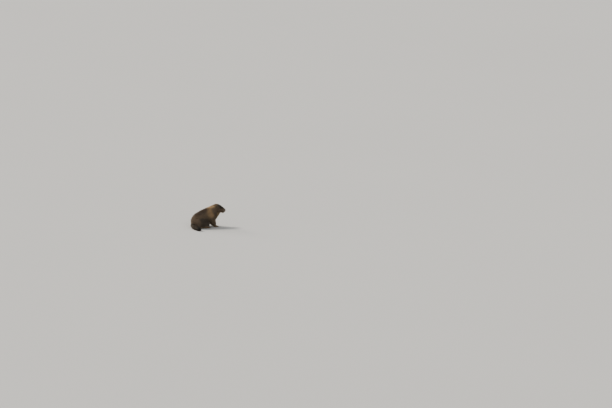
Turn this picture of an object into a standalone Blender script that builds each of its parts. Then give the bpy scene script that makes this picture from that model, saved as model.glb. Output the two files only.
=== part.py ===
"""Alpine marmot, life size, sitting on all fours with its tail laid beside it.

Metres, +Z up, the nose towards +X. The animal rests on the plane z = 0, and its
origin is the middle of its footprint. The solids are the animal with its coat on.
"""

import math
import random

import bmesh
import bpy
from mathutils import Matrix, Vector
from mathutils.bvhtree import BVHTree

CM = 0.01
MM = 0.001

# Gap that touching nodes keep
GAP = 0.3 * MM
SIDES = {"right": -1, "left": 1}

# Driving sizes of the animal
HEAD_PITCH = math.radians(19)
HEAD_TURN = math.radians(-8)
HEAD_BACK = Vector((6.1, 0, 18.9)) * CM
EYE_RADIUS = 6.8 * MM
EYE_AIM = Vector((5.75, 2.1, 1.25)) * CM
EYE_AXIS = Vector((0.34, 0.92, 0.2)).normalized()
EYE_DEPTH = 4.3 * MM
LID_RADIUS = 6.3 * MM
LID_THICKNESS = 1.55 * MM
LID_ALMOND = (1.12, 0.86)
EAR_AIM = Vector((2.2, 2.0, 0.3)) * CM
EAR_FACE = Vector((0.62, 0.76, 0.12)).normalized()
EAR_TOP = Vector((-0.25, 0.45, 0.86)).normalized()
EAR_RADII = Vector((10, 11.5, 4.2)) * MM
EAR_BOWL = Vector((7.4, 8.6, 4.2)) * MM
NOSE_PLACE = Vector((11.3, 0, 0.2)) * CM
NOSE_RADII = Vector((4.6, 7.4, 5.4)) * MM
NOSTRIL_RADII = Vector((2.6, 1.3, 1.7)) * MM
MOUTH_MIDDLE = Vector((9.2, 0, -1.45)) * CM
MOUTH_DROP = 5 * MM
MOUTH_WIDTH = math.radians(112)
MOUTH_GROOVE = 0.9 * MM
FORE_TOES = 4
FORE_STEP = {-1: 0.0, 1: -0.9}
HIND_TOES = 5
FORE_CLAW = 13 * MM
HIND_CLAW = 10 * MM
CLAW_RADIUS = 1.8 * MM

# Fineness of the forms
BODY_VOXEL = 2.6 * MM
BODY_TRIANGLES = 3700
HEAD_VOXEL = 1.3 * MM
HEAD_TRIANGLES = 2600
FOOT_VOXEL = 1.1 * MM
FOOT_TRIANGLES = 420

# Locks of the tail
SEED = 11
TAIL_CORE = 0.5
CORE_STATIONS = 6
TAIL_ACROSS = Vector((0.95, 0.3, 0.0))
LOCK_RINGS = 7
LOCKS_ROUND = 6
LOCK_FIRST = 12 * MM
LOCK_LENGTH = 58 * MM
LOCK_WIDTH = 10 * MM
LOCK_THICKNESS = 2.8 * MM
# Along the lock: its rise from the core to the tips, and its share of the full width
LOCK_SHAPE = ((0.0, 0.0, 0.7), (0.3, 0.7, 1.0), (0.65, 0.95, 0.85), (1.0, 1.04, 0.07))
LOCK_SWAY = 0.5
LOCK_ROOT = 0.3


def clear_scene():
    for obj in list(bpy.data.objects):
        bpy.data.objects.remove(obj)


def collection(name):
    made = bpy.data.collections.new(name)
    bpy.context.scene.collection.children.link(made)
    return made


clear_scene()
MARMOT = collection("alpine_marmot")
FORMS = collection("working_forms")


def add_object(name, mesh, where=None):
    obj = bpy.data.objects.new(name, mesh)
    (where or FORMS).objects.link(obj)
    return obj


def settle(obj):
    """Make the object's mesh what its modifiers make of it."""
    bpy.context.view_layer.update()
    graph = bpy.context.evaluated_depsgraph_get()
    mesh = bpy.data.meshes.new_from_object(obj.evaluated_get(graph))
    obj.modifiers.clear()
    obj.data = mesh
    return obj


def copy_of(obj, name):
    return add_object(name, obj.data.copy())


def remove(*objects):
    for obj in objects:
        bpy.data.objects.remove(obj)


def boolean(obj, other, operation, solver="EXACT"):
    step = obj.modifiers.new("shape", "BOOLEAN")
    step.operation = operation
    step.solver = solver
    step.object = other
    return settle(obj)


def keep_largest(obj):
    """Keep only the largest closed surface of a mesh."""
    form = bmesh.new()
    form.from_mesh(obj.data)
    left = set(form.verts)
    islands = []
    while left:
        start = left.pop()
        island, edge = {start}, [start]
        while edge:
            for link in edge.pop().link_edges:
                for vert in link.verts:
                    if vert not in island:
                        island.add(vert)
                        edge.append(vert)
        left -= island
        islands.append(island)
    islands.sort(key=span_of, reverse=True)
    for scrap in islands[1:]:
        bmesh.ops.delete(form, geom=list(scrap), context="VERTS")
    form.to_mesh(obj.data)
    form.free()
    return obj


def span_of(verts):
    low = [min(v.co[k] for v in verts) for k in range(3)]
    high = [max(v.co[k] for v in verts) for k in range(3)]
    return (Vector(high) - Vector(low)).length


def catmull(rows, steps):
    """Rows of numbers, with steps - 1 rows put between each two on a smooth curve."""
    found = []
    last = len(rows) - 1
    for i in range(last):
        a, b = rows[max(i - 1, 0)], rows[i]
        c, d = rows[i + 1], rows[min(i + 2, last)]
        for k in range(steps):
            t = k / steps
            found.append(
                [
                    0.5
                    * (
                        2 * q
                        + (r - p) * t
                        + (2 * p - 5 * q + 4 * r - s) * t**2
                        + (3 * q - p - 3 * r + s) * t**3
                    )
                    for p, q, r, s in zip(a, b, c, d)
                ]
            )
    return found + [list(rows[last])]


def loft(name, rings, sides=28, steps=4):
    """A closed skin over rings, each (centre, half width vector, half height vector)."""
    rows = catmull([[*c, *w, *h] for c, w, h in rings], steps)
    form = bmesh.new()
    loops = []
    for row in rows:
        centre, wide, high = Vector(row[0:3]), Vector(row[3:6]), Vector(row[6:9])
        loops.append(
            [
                form.verts.new(
                    centre
                    + wide * math.cos(2 * math.pi * k / sides)
                    + high * math.sin(2 * math.pi * k / sides)
                )
                for k in range(sides)
            ]
        )
    for one, two in zip(loops, loops[1:]):
        for k in range(sides):
            n = (k + 1) % sides
            form.faces.new((one[k], one[n], two[n], two[k]))
    for loop in (loops[0], loops[-1]):
        form.faces.new(loop)
    bmesh.ops.recalc_face_normals(form, faces=form.faces)
    bmesh.ops.triangulate(form, faces=[f for f in form.faces if len(f.verts) > 4])
    mesh = bpy.data.meshes.new(name)
    form.to_mesh(mesh)
    form.free()
    return add_object(name, mesh)


def limb(name, stations, sides=20, steps=4, across=Vector((0, 1, 0))):
    """A loft along a path of (point, half width, half height)."""
    points = [Vector(p) for p, _, _ in stations]
    rings = []
    for i, (point, wide, high) in enumerate(stations):
        way = points[min(i + 1, len(points) - 1)] - points[max(i - 1, 0)]
        up = way.cross(across).normalized()
        side = up.cross(way).normalized()
        rings.append((Vector(point), side * wide, up * high))
    return loft(name, rings, sides, steps)


def ball(name, place, radii, turn=None, segments=24, rings=16):
    """An ellipsoid. turn is a rotation matrix about its centre."""
    form = bmesh.new()
    bmesh.ops.create_uvsphere(form, u_segments=segments, v_segments=rings, radius=1)
    shape = Matrix.Diagonal((*radii, 1))
    bmesh.ops.transform(
        form,
        matrix=Matrix.Translation(place) @ (turn or Matrix.Identity(4)) @ shape,
        verts=form.verts,
    )
    mesh = bpy.data.meshes.new(name)
    form.to_mesh(mesh)
    form.free()
    return add_object(name, mesh)


def block(name, place, size, turn=None):
    """A box of full size about its centre."""
    form = bmesh.new()
    bmesh.ops.create_cube(form, size=1)
    shape = Matrix.Diagonal((*size, 1))
    bmesh.ops.transform(
        form,
        matrix=Matrix.Translation(place) @ (turn or Matrix.Identity(4)) @ shape,
        verts=form.verts,
    )
    mesh = bpy.data.meshes.new(name)
    form.to_mesh(mesh)
    form.free()
    return add_object(name, mesh)


def fused(name, forms, voxel, smoothing, triangles):
    """One smooth closed body over all the forms, with about that many triangles."""
    whole = bpy.data.meshes.new(name)
    form = bmesh.new()
    for piece in forms:
        form.from_mesh(piece.data)
    form.to_mesh(whole)
    form.free()
    obj = add_object(name, whole)
    skin = obj.modifiers.new("skin", "REMESH")
    skin.mode = "VOXEL"
    skin.voxel_size = voxel
    settle(obj)
    soft = obj.modifiers.new("soft", "SMOOTH")
    soft.factor = 0.5
    soft.iterations = smoothing
    fewer = obj.modifiers.new("fewer", "DECIMATE")
    fewer.ratio = min(1.0, triangles / (2 * len(obj.data.polygons)))
    return settle(obj)


def mirrored(point, side):
    return Vector((point[0], point[1] * side, point[2]))


def joined(name, forms):
    """One object that holds every form's faces as they are."""
    mesh = bpy.data.meshes.new(name)
    form = bmesh.new()
    for piece in forms:
        form.from_mesh(piece.data)
    form.to_mesh(mesh)
    form.free()
    return add_object(name, mesh)


def grown(obj, amount=GAP):
    """A copy whose skin stands off by that amount."""
    cutter = copy_of(obj, "cutter")
    step = cutter.modifiers.new("off", "DISPLACE")
    step.strength = amount
    step.mid_level = 0
    return settle(cutter)


def fit_against(obj, *neighbours, solver="EXACT"):
    """Trim the object so that it keeps the gap from each neighbour."""
    for neighbour in neighbours:
        cutter = grown(neighbour)
        boolean(obj, cutter, "DIFFERENCE", solver)
        remove(cutter)
    return keep_largest(obj)


def shaped(obj, cutter, operation="DIFFERENCE", solver="EXACT"):
    """Cut or join with a form that is then dropped."""
    boolean(obj, cutter, operation, solver)
    remove(cutter)
    return obj


def surface_of(forms):
    whole = joined("surface", forms)
    form = bmesh.new()
    form.from_mesh(whole.data)
    tree = BVHTree.FromBMesh(form)
    form.free()
    remove(whole)
    return tree


def outer_point(tree, aim, axis, reach=0.3):
    """Where a line that comes in along the axis towards aim meets the surface."""
    place, _, _, _ = tree.ray_cast(aim + axis * reach, -axis)
    return place


def frame_of(place, across, up, out):
    """A matrix with those three axes at a place."""
    turn = Matrix((across, up, out)).transposed().to_4x4()
    return Matrix.Translation(place) @ turn


# Trunk and legs


def trunk_rings():
    """(back point, belly point, half width) from the rump to inside the head, in cm."""
    stations = (
        ((-16.2, 5.8), (-15.6, 2.8), 2.6),
        ((-15.4, 8.9), (-13.2, 0.4), 5.7),
        ((-13.1, 11.8), (-9.6, -0.4), 7.5),
        ((-9.8, 14.1), (-5.6, 0.6), 8.1),
        ((-6.1, 15.9), (-1.6, 2.6), 7.8),
        ((-2.4, 17.5), (2.6, 4.8), 7.0),
        ((1.0, 19.0), (6.4, 7.2), 6.0),
        ((4.0, 20.2), (8.7, 9.9), 5.0),
        ((6.6, 20.9), (9.4, 12.6), 4.2),
    )
    rings = []
    for (bx, bz), (lx, lz), width in stations:
        back, belly = Vector((bx, 0, bz)) * CM, Vector((lx, 0, lz)) * CM
        rings.append(
            ((back + belly) / 2, Vector((0, width * CM, 0)), (back - belly) / 2)
        )
    return rings


def along(side, rows):
    """Stations in cm for one side of the body, as limb takes them."""
    return [
        (mirrored(Vector(place) * CM, side), wide * CM, high * CM)
        for place, wide, high in rows
    ]


def hind_leg_forms(side):
    lean = Matrix.Rotation(math.radians(-14), 4, "Y")
    thigh = mirrored(Vector((-7.8, 5.2, 5.9)) * CM, side)
    knee = (
        ((-6.8, 5.8, 5.0), 3.0, 4.2),
        ((-3.4, 7.1, 4.6), 2.2, 3.4),
        ((-1.3, 7.6, 3.7), 1.5, 2.2),
        ((-0.5, 7.7, 3.1), 0.8, 1.2),
    )
    hock = (
        ((-2.8, 7.2, 3.6), 1.6, 2.1),
        ((-5.8, 7.0, 2.9), 1.45, 1.9),
        ((-8.1, 6.85, 2.3), 1.25, 1.5),
        ((-9.0, 6.8, 2.0), 0.9, 1.0),
    )
    return [
        ball("thigh", thigh, Vector((6.6, 4.1, 5.5)) * CM, lean),
        limb("knee", along(side, knee)),
        limb("hock", along(side, hock)),
    ]


def foreleg_forms(side):
    lean = Matrix.Rotation(math.radians(25), 4, "Y")
    shoulder = mirrored(Vector((3.2, 3.8, 11.8)) * CM, side)
    step = FORE_STEP[side]
    arm = (
        ((3.8, 4.2, 12.0), 2.6, 3.6),
        ((3.4 + 0.2 * step, 5.0, 9.0), 2.2, 3.2),
        ((3.7 + 0.5 * step, 5.1, 6.5), 1.8, 2.6),
        ((4.8 + 0.8 * step, 4.7, 4.4), 1.45, 1.95),
        ((5.4 + step, 4.2, 3.0), 1.3, 1.6),
        ((5.6 + step, 4.0, 2.2), 1.1, 1.2),
    )
    return [
        ball("shoulder", shoulder, Vector((4.4, 3.2, 5.0)) * CM, lean),
        limb("arm", along(side, arm)),
    ]


def throat_form():
    """The loose coat under the jaw, from the chin down to the chest."""
    rows = (
        ((11.5, 0, 15.3), 2.1, 1.7),
        ((10.2, 0, 14.1), 3.1, 2.2),
        ((8.6, 0, 12.3), 3.9, 2.4),
        ((7.2, 0, 10.0), 4.3, 2.2),
        ((6.2, 0, 8.2), 3.6, 1.7),
    )
    return limb("throat", along(1, rows))


# Feet


def toe_spread(count):
    """How far each toe stands from the middle one, in toe widths."""
    return [i - (count - 1) / 2 for i in range(count)]


def fore_toe(side, step):
    """Root and tip of one fore toe."""
    reach = FORE_STEP[side]
    root = Vector((6.9 + reach, 3.85 + 0.66 * step, 0.9)) * CM
    tip = Vector((8.6 + reach - 0.22 * step**2, 3.85 + 0.96 * step, 0.62)) * CM
    return mirrored(root, side), mirrored(tip, side)


def hind_toe(side, step):
    """Root and tip of one hind toe."""
    root = Vector((-2.5, 7.3 + 0.62 * step, 0.95)) * CM
    tip = Vector((-0.1 - 0.22 * step**2, 7.35 + 0.9 * step, 0.62)) * CM
    return mirrored(root, side), mirrored(tip, side)


def foot_forms(side, palm, toes):
    forms = [limb("palm", along(side, palm))]
    for root, tip in toes:
        middle = (root + tip) / 2 + Vector((0, 0, 0.12 * CM))
        forms.append(
            limb(
                "toe",
                ((root, 0.45 * CM, 0.5 * CM), (middle, 0.43 * CM, 0.52 * CM),
                 (tip, 0.3 * CM, 0.36 * CM)),
                sides=12,
            )
        )
        forms.append(ball("pad", tip, Vector((0.42, 0.37, 0.44)) * CM, segments=12, rings=8))
    return forms


def fore_palm(side):
    step = FORE_STEP[side]
    return (
        ((4.6 + step, 4.1, 2.7), 1.15, 1.1),
        ((5.3 + step, 3.95, 1.6), 1.3, 1.2),
        ((6.4 + step, 3.85, 1.0), 1.55, 1.05),
        ((7.3 + step, 3.85, 0.85), 1.6, 0.85),
        ((7.8 + step, 3.85, 0.8), 1.2, 0.6),
    )


HIND_PALM = (
    ((-9.6, 6.85, 1.3), 0.7, 0.8),
    ((-8.8, 6.9, 1.3), 1.15, 1.35),
    ((-6.5, 7.0, 1.25), 1.35, 1.3),
    ((-3.8, 7.2, 1.15), 1.6, 1.2),
    ((-2.2, 7.3, 0.9), 1.75, 0.9),
    ((-1.6, 7.3, 0.85), 1.4, 0.65),
)


def claw_form(root, tip, length):
    """A curved, tapering claw that starts inside its toe and points down and out."""
    way = (tip - root)
    way.z = 0
    way.normalize()
    drop = Vector((0, 0, -1))
    start = tip - way * 0.3 * CM + Vector((0, 0, 0.12 * CM))
    front = tip + way * length * 0.45 + Vector((0, 0, 0.14 * CM))
    end = tip + way * length + drop * (tip.z - 1.0 * MM)
    across = Vector((0, 0, 1)).cross(way).normalized()
    return limb(
        "claw",
        (
            (start, CLAW_RADIUS * 0.85, CLAW_RADIUS),
            (front, CLAW_RADIUS * 0.75, CLAW_RADIUS * 0.9),
            (end, CLAW_RADIUS * 0.15, CLAW_RADIUS * 0.2),
        ),
        sides=6,
        steps=2,
        across=across,
    )


# Head


HEAD = (
    Matrix.Translation(HEAD_BACK)
    @ Matrix.Rotation(HEAD_TURN, 4, "Z")
    @ Matrix.Rotation(HEAD_PITCH, 4, "Y")
)


def on_head(obj):
    obj.data.transform(HEAD)
    return obj


def head_point(place):
    return HEAD @ Vector(place)


def head_way(way):
    return (HEAD.to_3x3() @ Vector(way)).normalized()


def head_rings():
    """(x, top, bottom, half width) along the head, in cm."""
    stations = (
        (-1.2, 1.6, -2.6, 2.6),
        (0.2, 2.8, -3.4, 3.4),
        (1.8, 3.4, -4.0, 3.95),
        (3.4, 3.5, -4.2, 4.1),
        (5.0, 3.25, -4.1, 3.8),
        (6.4, 2.85, -3.75, 3.15),
        (7.7, 2.4, -3.35, 2.5),
        (9.0, 1.9, -3.0, 2.1),
        (10.2, 1.35, -2.6, 1.8),
        (11.1, 0.8, -1.9, 1.3),
        (11.5, 0.25, -1.2, 0.65),
    )
    rings = []
    for x, top, bottom, width in stations:
        centre = Vector((x, 0, (top + bottom) / 2)) * CM
        half = Vector((0, 0, (top - bottom) / 2)) * CM
        rings.append((centre, Vector((0, width * CM, 0)), half))
    return rings


def head_forms():
    """The skull with its coat, cheeks, brows, whisker pads and chin."""
    forms = [on_head(loft("skull", head_rings(), sides=32))]
    paired = (
        ("cheek", (3.9, 2.4, -1.4), (2.9, 1.95, 2.3)),
        ("temple", (3.8, 2.0, 1.1), (2.5, 1.75, 1.7)),
        ("brow", (5.2, 2.0, 1.8), (1.9, 0.95, 0.75)),
        ("whisker_pad", (9.7, 1.0, -0.75), (1.4, 1.12, 1.0)),
    )
    for side in SIDES.values():
        for name, place, radii in paired:
            where = mirrored(Vector(place) * CM, side)
            forms.append(on_head(ball(name, where, Vector(radii) * CM)))
    chin = Vector((9.1, 0, -2.6)) * CM
    forms.append(on_head(ball("chin", chin, Vector((1.6, 1.15, 0.75)) * CM)))
    return forms


def eye_place(tree, side):
    """Centre and outward axis of one eye, set on the surface of the head."""
    axis = head_way(mirrored(EYE_AXIS, side))
    skin = outer_point(tree, head_point(mirrored(EYE_AIM, side)), axis)
    return skin - axis * EYE_DEPTH, axis


def lid_form(centre, axis):
    """The ring of the lids, an almond lying over the front of the eye."""
    up = (head_way((0, 0, 1)) - axis * axis.dot(head_way((0, 0, 1)))).normalized()
    across = up.cross(axis)
    form = bmesh.new()
    round_it = bmesh.ops.create_circle(form, segments=6, radius=LID_THICKNESS)
    turn = Matrix.Translation((LID_RADIUS, 0, 0)) @ Matrix.Rotation(math.pi / 2, 4, "X")
    bmesh.ops.transform(form, matrix=turn, verts=round_it["verts"])
    bmesh.ops.spin(
        form,
        geom=form.verts[:] + form.edges[:],
        cent=(0, 0, 0),
        axis=(0, 0, 1),
        angle=2 * math.pi,
        steps=18,
        use_merge=True,
    )
    almond = Matrix.Diagonal((*LID_ALMOND, 1, 1))
    place = frame_of(centre + axis * (EYE_DEPTH + 0.3 * MM), across, up, axis)
    bmesh.ops.transform(form, matrix=place @ almond, verts=form.verts)
    bmesh.ops.recalc_face_normals(form, faces=form.faces)
    mesh = bpy.data.meshes.new("lid")
    form.to_mesh(mesh)
    form.free()
    return add_object("lid", mesh)


def mouth_groove(tree):
    """The line between the lips, cut into the surface from corner to corner."""
    steps = 20
    rows = []
    for i in range(-steps // 2, steps // 2 + 1):
        turn = MOUTH_WIDTH * i / (steps // 2)
        part = abs(i) / (steps // 2)
        drop = MOUTH_DROP * math.sin(math.pi * min(1, part * 1.1))
        aim = head_point(MOUTH_MIDDLE - Vector((0, 0, drop + 1.5 * MM * part)))
        axis = head_way((math.cos(turn), math.sin(turn), 0))
        skin = outer_point(tree, aim, axis)
        size = MOUTH_GROOVE * (1 - 0.5 * part**4)
        rows.append((skin, size, size))
    return limb("mouth", rows, sides=6, steps=1, across=head_way((0, 0, 1)))


def philtrum_groove(tree):
    """The cleft that runs from the nose to the lips."""
    rows = []
    for drop in (-0.2, -0.6, -1.0, -1.5):
        aim = head_point(Vector((8.0, 0, drop)) * CM)
        rows.append((outer_point(tree, aim, head_way((1, 0, 0))), 0.6 * MM, 0.8 * MM))
    return limb("philtrum", rows, sides=8, steps=2)


def nose_form(scale=0.0):
    radii = NOSE_RADII + Vector((scale, scale, scale))
    return on_head(ball("nose", NOSE_PLACE, radii, segments=16, rings=10))


def nostril_form(side):
    turn = Matrix.Rotation(math.radians(30) * side, 4, "Z")
    place = mirrored(NOSE_PLACE + Vector((3.4, 3.0, 0.2)) * MM, side)
    return on_head(ball("nostril", place, NOSTRIL_RADII, turn, segments=8, rings=6))


def ear_form(tree, side):
    """A round shallow cup, open forwards and outwards, its root in the head."""
    face = head_way(mirrored(EAR_FACE, side))
    top = head_way(mirrored(EAR_TOP, side))
    top = (top - face * face.dot(top)).normalized()
    out = head_way(mirrored(Vector((-0.25, 0.9, 0.35)), side))
    skin = outer_point(tree, head_point(mirrored(EAR_AIM, side)), out)
    place = frame_of(skin + top * 5.5 * MM + out * 2.0 * MM, top.cross(face), top, face)
    ear = ball("ear", (0, 0, 0), EAR_RADII, segments=16, rings=10)
    bowl = ball("bowl", (0.6 * MM, -0.6 * MM, 3.6 * MM), EAR_BOWL, segments=12, rings=8)
    shaped(ear, bowl)
    ear.data.transform(place)
    return ear


# Tail


TAIL_PATH = (
    ((-13.4, 0.6, 4.0), 1.8, 1.8),
    ((-15.6, -2.0, 3.2), 2.0, 2.0),
    ((-16.2, -5.8, 2.4), 2.3, 2.2),
    ((-15.4, -9.6, 2.1), 2.6, 2.3),
    ((-14.2, -13.0, 2.0), 2.7, 2.3),
    ((-13.1, -16.0, 1.8), 2.3, 2.0),
    ((-12.3, -18.2, 1.4), 1.4, 1.4),
    ((-12.1, -18.9, 1.2), 0.7, 0.8),
)


def tail_walk():
    """Distances along the tail in metres, with (centre, half width, half height) there."""
    rows = []
    distance = 0.0
    for row in catmull([[*p, w, h] for p, w, h in TAIL_PATH], 6):
        centre = Vector(row[:3]) * CM
        if rows:
            distance += (centre - rows[-1][1]).length
        rows.append((distance, centre, row[3] * CM, row[4] * CM))
    return rows


def tail_at(walk, distance):
    """Centre, way, half width and half height at a distance along the tail."""
    distance = min(distance, walk[-1][0])
    for one, two in zip(walk, walk[1:]):
        if distance <= two[0]:
            t = (distance - one[0]) / (two[0] - one[0])
            centre = one[1].lerp(two[1], t)
            way = (two[1] - one[1]).normalized()
            return centre, way, one[2] + (two[2] - one[2]) * t, one[3] + (two[3] - one[3]) * t
    raise ValueError("the tail has no such place")


def tail_core():
    """The dense middle of the tail, half as thick as the tail with its locks."""
    rows = [
        (Vector(p) * CM, w * CM * TAIL_CORE, h * CM * TAIL_CORE)
        for p, w, h in TAIL_PATH[:CORE_STATIONS]
    ]
    return limb("tail", rows, sides=14, steps=3, across=TAIL_ACROSS)


def lock(walk, start, turn, length, width, sway, closing):
    """A flat, tapered lock that rises from the core and bends back along the tail."""
    rows = []
    for part, rise, full in LOCK_SHAPE:
        centre, way, wide, high = tail_at(walk, start + length * part)
        up = (Vector((0, 0, 1)) - way * way.z).normalized()
        around = turn + sway * part**2
        out = way.cross(up) * math.cos(around) + up * math.sin(around)
        reach = math.hypot(wide * math.cos(around), high * math.sin(around))
        share = LOCK_ROOT + (1 - LOCK_ROOT) * rise - closing * part**2
        point = centre + out * (reach * share - LOCK_THICKNESS * rise)
        rows.append((point, way.cross(out) * width * full, out * LOCK_THICKNESS * full))
    return loft("lock", rows, sides=4, steps=1)


def tail_locks(draw):
    """Locks in rings from the root to the tip, each ring overlapping the next."""
    walk = tail_walk()
    end = walk[-1][0]
    spacing = (end - LOCK_LENGTH - LOCK_FIRST) / (LOCK_RINGS - 1)
    locks = []
    for ring in range(LOCK_RINGS):
        at_tip = ring == LOCK_RINGS - 1
        for k in range(LOCKS_ROUND):
            turn = 2 * math.pi * (k + 0.5 * (ring % 2) + draw.uniform(-0.3, 0.3)) / LOCKS_ROUND
            start = LOCK_FIRST + spacing * ring
            length = LOCK_LENGTH * draw.uniform(0.85, 1.0)
            if not at_tip:
                start += spacing * draw.uniform(-0.35, 0.35)
                length *= draw.uniform(0.8, 1.15)
            width = LOCK_WIDTH * draw.uniform(0.75, 1.2)
            sway = draw.uniform(-LOCK_SWAY, LOCK_SWAY)
            closing = 0.75 * draw.random() if at_tip else 0.0
            locks.append(lock(walk, start, turn, length, width, sway, closing))
    return locks


def united(obj, pieces):
    """Join many closed pieces to one body in a single union."""
    group = collection("joining")
    for piece in pieces:
        FORMS.objects.unlink(piece)
        group.objects.link(piece)
    step = obj.modifiers.new("join", "BOOLEAN")
    step.operation = "UNION"
    step.operand_type = "COLLECTION"
    step.solver = "EXACT"
    step.collection = group
    settle(obj)
    remove(*pieces)
    bpy.data.collections.remove(group)
    return keep_largest(obj)


def build_tail(whole):
    tail = united(tail_core(), tail_locks(random.Random(SEED)))
    above_floor(tail, solver="MANIFOLD")
    fit_against(tail, whole, solver="MANIFOLD")
    return as_node(tail, "tail", TAIL)


# Parting

# Depth of a leg's cell, past the flank, and side of the block that a plane stands for
CELL_DEPTH = 20 * CM
BLOCK = 80 * CM


def half_space(place, way, grow=0.0, size=BLOCK):
    """All that lies beyond a plane, as a block."""
    way = Vector(way).normalized()
    middle = Vector(place) + way * (size / 2 - grow)
    turn = way.to_track_quat("Z", "Y").to_matrix().to_4x4()
    return block("half", middle, (size, size, size), turn)


def oval_cell(side, place, radii, turn, inner, grow=0.0):
    """The outer part of one flank within an oval outline, as seen from the side."""
    form = bmesh.new()
    bmesh.ops.create_cone(
        form,
        cap_ends=True,
        segments=40,
        radius1=1,
        radius2=1,
        depth=1,
        matrix=Matrix.Rotation(math.pi / 2, 4, "X"),
    )
    depth = CELL_DEPTH
    shape = Matrix.Diagonal((radii[0] + grow, depth, radii[1] + grow, 1))
    middle = Vector((place[0], side * (inner - grow + depth / 2), place[1]))
    stand = Matrix.Translation(middle) @ Matrix.Rotation(turn, 4, "Y") @ shape
    bmesh.ops.transform(form, matrix=stand, verts=form.verts)
    mesh = bpy.data.meshes.new("cell")
    form.to_mesh(mesh)
    form.free()
    return add_object("cell", mesh)


FORE_CELL = (Vector((4.0, 7.4)) * CM, Vector((4.4, 8.9)) * CM, math.radians(6), 2.0 * CM)
HIND_CELL = (Vector((-7.2, 5.2)) * CM, Vector((8.5, 6.3)) * CM, math.radians(-6), 3.3 * CM)
HEAD_PLANE = (Vector((6.7, 0, 21.5)) * CM, Vector((8.4, 0, 1.7)))
NECK_PLANE = (Vector((1.8, 0, 19.6)) * CM, Vector((11, 0, 3.4)))


def parted(body, cell, *where):
    """Part of the body inside a cell. The body keeps the rest, a gap away."""
    piece = copy_of(body, "piece")
    shaped(piece, cell(*where), "INTERSECT")
    shaped(body, cell(*where, GAP), "DIFFERENCE")
    return keep_largest(piece)


def above_floor(obj, solver="EXACT"):
    return shaped(obj, half_space((0, 0, 0), (0, 0, -1)), solver=solver)


# Finish

BACK = (0.16, 0.125, 0.09)
MANE = (0.30, 0.24, 0.16)
FACE = (0.07, 0.068, 0.06)
LIMB = (0.14, 0.11, 0.075)
PAW = (0.30, 0.24, 0.17)
TAIL = (0.06, 0.05, 0.04)
EAR = (0.2, 0.15, 0.1)
CLAW = (0.035, 0.03, 0.028)
NOSE = (0.02, 0.018, 0.018)
EYE = (0.008, 0.006, 0.005)

# Edges sharper than this are creases
CREASE = math.radians(38)


def as_node(obj, name, colour, roughness=0.85):
    """Name a finished body and give it its own plain finish."""
    FORMS.objects.unlink(obj)
    MARMOT.objects.link(obj)
    obj.name = name
    obj.data.name = name
    finish = bpy.data.materials.new(name)
    finish.use_nodes = True
    shader = finish.node_tree.nodes["Principled BSDF"]
    shader.inputs["Base Color"].default_value = (*colour, 1)
    shader.inputs["Roughness"].default_value = roughness
    obj.data.materials.clear()
    obj.data.materials.append(finish)
    obj.data.shade_smooth()
    obj.data.set_sharp_from_angle(angle=CREASE)
    return obj


def build_foot(side, name, palm, toes, length):
    """A foot with its claws as nodes."""
    forms = foot_forms(side, palm, toes)
    foot = fused(name, forms, FOOT_VOXEL, 4, FOOT_TRIANGLES)
    remove(*forms)
    above_floor(foot)
    for i, (root, tip) in enumerate(toes):
        claw = above_floor(claw_form(root, tip, length))
        fit_against(claw, foot)
        as_node(claw, f"claw_{name.removeprefix('foot_')}_{i + 1}", CLAW, 0.35)
    return foot


def build_body():
    """Torso, neck and legs, parted from one smooth body, with the feet under them.

    What comes back is a copy of the body before it is parted.
    """
    forms = [loft("trunk", trunk_rings(), sides=36), throat_form()]
    for side in SIDES.values():
        forms += hind_leg_forms(side) + foreleg_forms(side)
    skull = on_head(loft("skull", head_rings(), sides=24))
    body = fused("body", forms + [skull], BODY_VOXEL, 6, BODY_TRIANGLES)
    remove(*forms, skull)
    whole = copy_of(body, "whole")
    above_floor(body)
    shaped(body, half_space(*HEAD_PLANE, GAP))
    for word, side in SIDES.items():
        for part, cell, palm, toe, count, length in (
            ("hind", HIND_CELL, HIND_PALM, hind_toe, HIND_TOES, HIND_CLAW),
            ("fore", FORE_CELL, fore_palm(side), fore_toe, FORE_TOES, FORE_CLAW),
        ):
            toes = [toe(side, step) for step in toe_spread(count)]
            foot = build_foot(side, f"foot_{part}_{word}", palm, toes, length)
            leg = parted(body, oval_cell, side, *cell)
            fit_against(leg, foot)
            fit_against(body, foot)
            as_node(leg, f"leg_{part}_{word}", LIMB)
            as_node(foot, foot.name, PAW)
    neck = parted(body, half_space, *NECK_PLANE)
    as_node(neck, "neck", MANE)
    as_node(keep_largest(body), "torso", BACK)
    return whole


def build_head(whole):
    """The head with its lids, lips and mouth, and the eyes, ears and nose on it."""
    forms = head_forms()
    surface = surface_of(forms)
    eyes = {word: eye_place(surface, side) for word, side in SIDES.items()}
    neck = [loft("nape", trunk_rings()[-4:], sides=32), throat_form()]
    head = fused("head", forms + neck, HEAD_VOXEL, 5, HEAD_TRIANGLES)
    remove(*forms, *neck)
    for centre, axis in eyes.values():
        shaped(head, lid_form(centre, axis), "UNION")
    shaped(head, half_space(*HEAD_PLANE), "INTERSECT")
    shaped(head, mouth_groove(surface))
    shaped(head, philtrum_groove(surface))
    shaped(head, nose_form(GAP))
    for word, (centre, _) in eyes.items():
        radius = EYE_RADIUS + GAP
        shaped(head, ball("socket", centre, (radius, radius, radius), segments=14, rings=10))
        eye = ball("eye", centre, (EYE_RADIUS,) * 3, segments=14, rings=8)
        as_node(eye, f"eye_{word}", EYE, 0.08)
    keep_largest(head)
    nose = nose_form()
    for side in SIDES.values():
        shaped(nose, nostril_form(side))
    as_node(nose, "nose", NOSE, 0.4)
    for word, side in SIDES.items():
        ear = ear_form(surface, side)
        fit_against(ear, head, whole)
        as_node(ear, f"ear_{word}", EAR)
    return as_node(head, "head", FACE)


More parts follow.
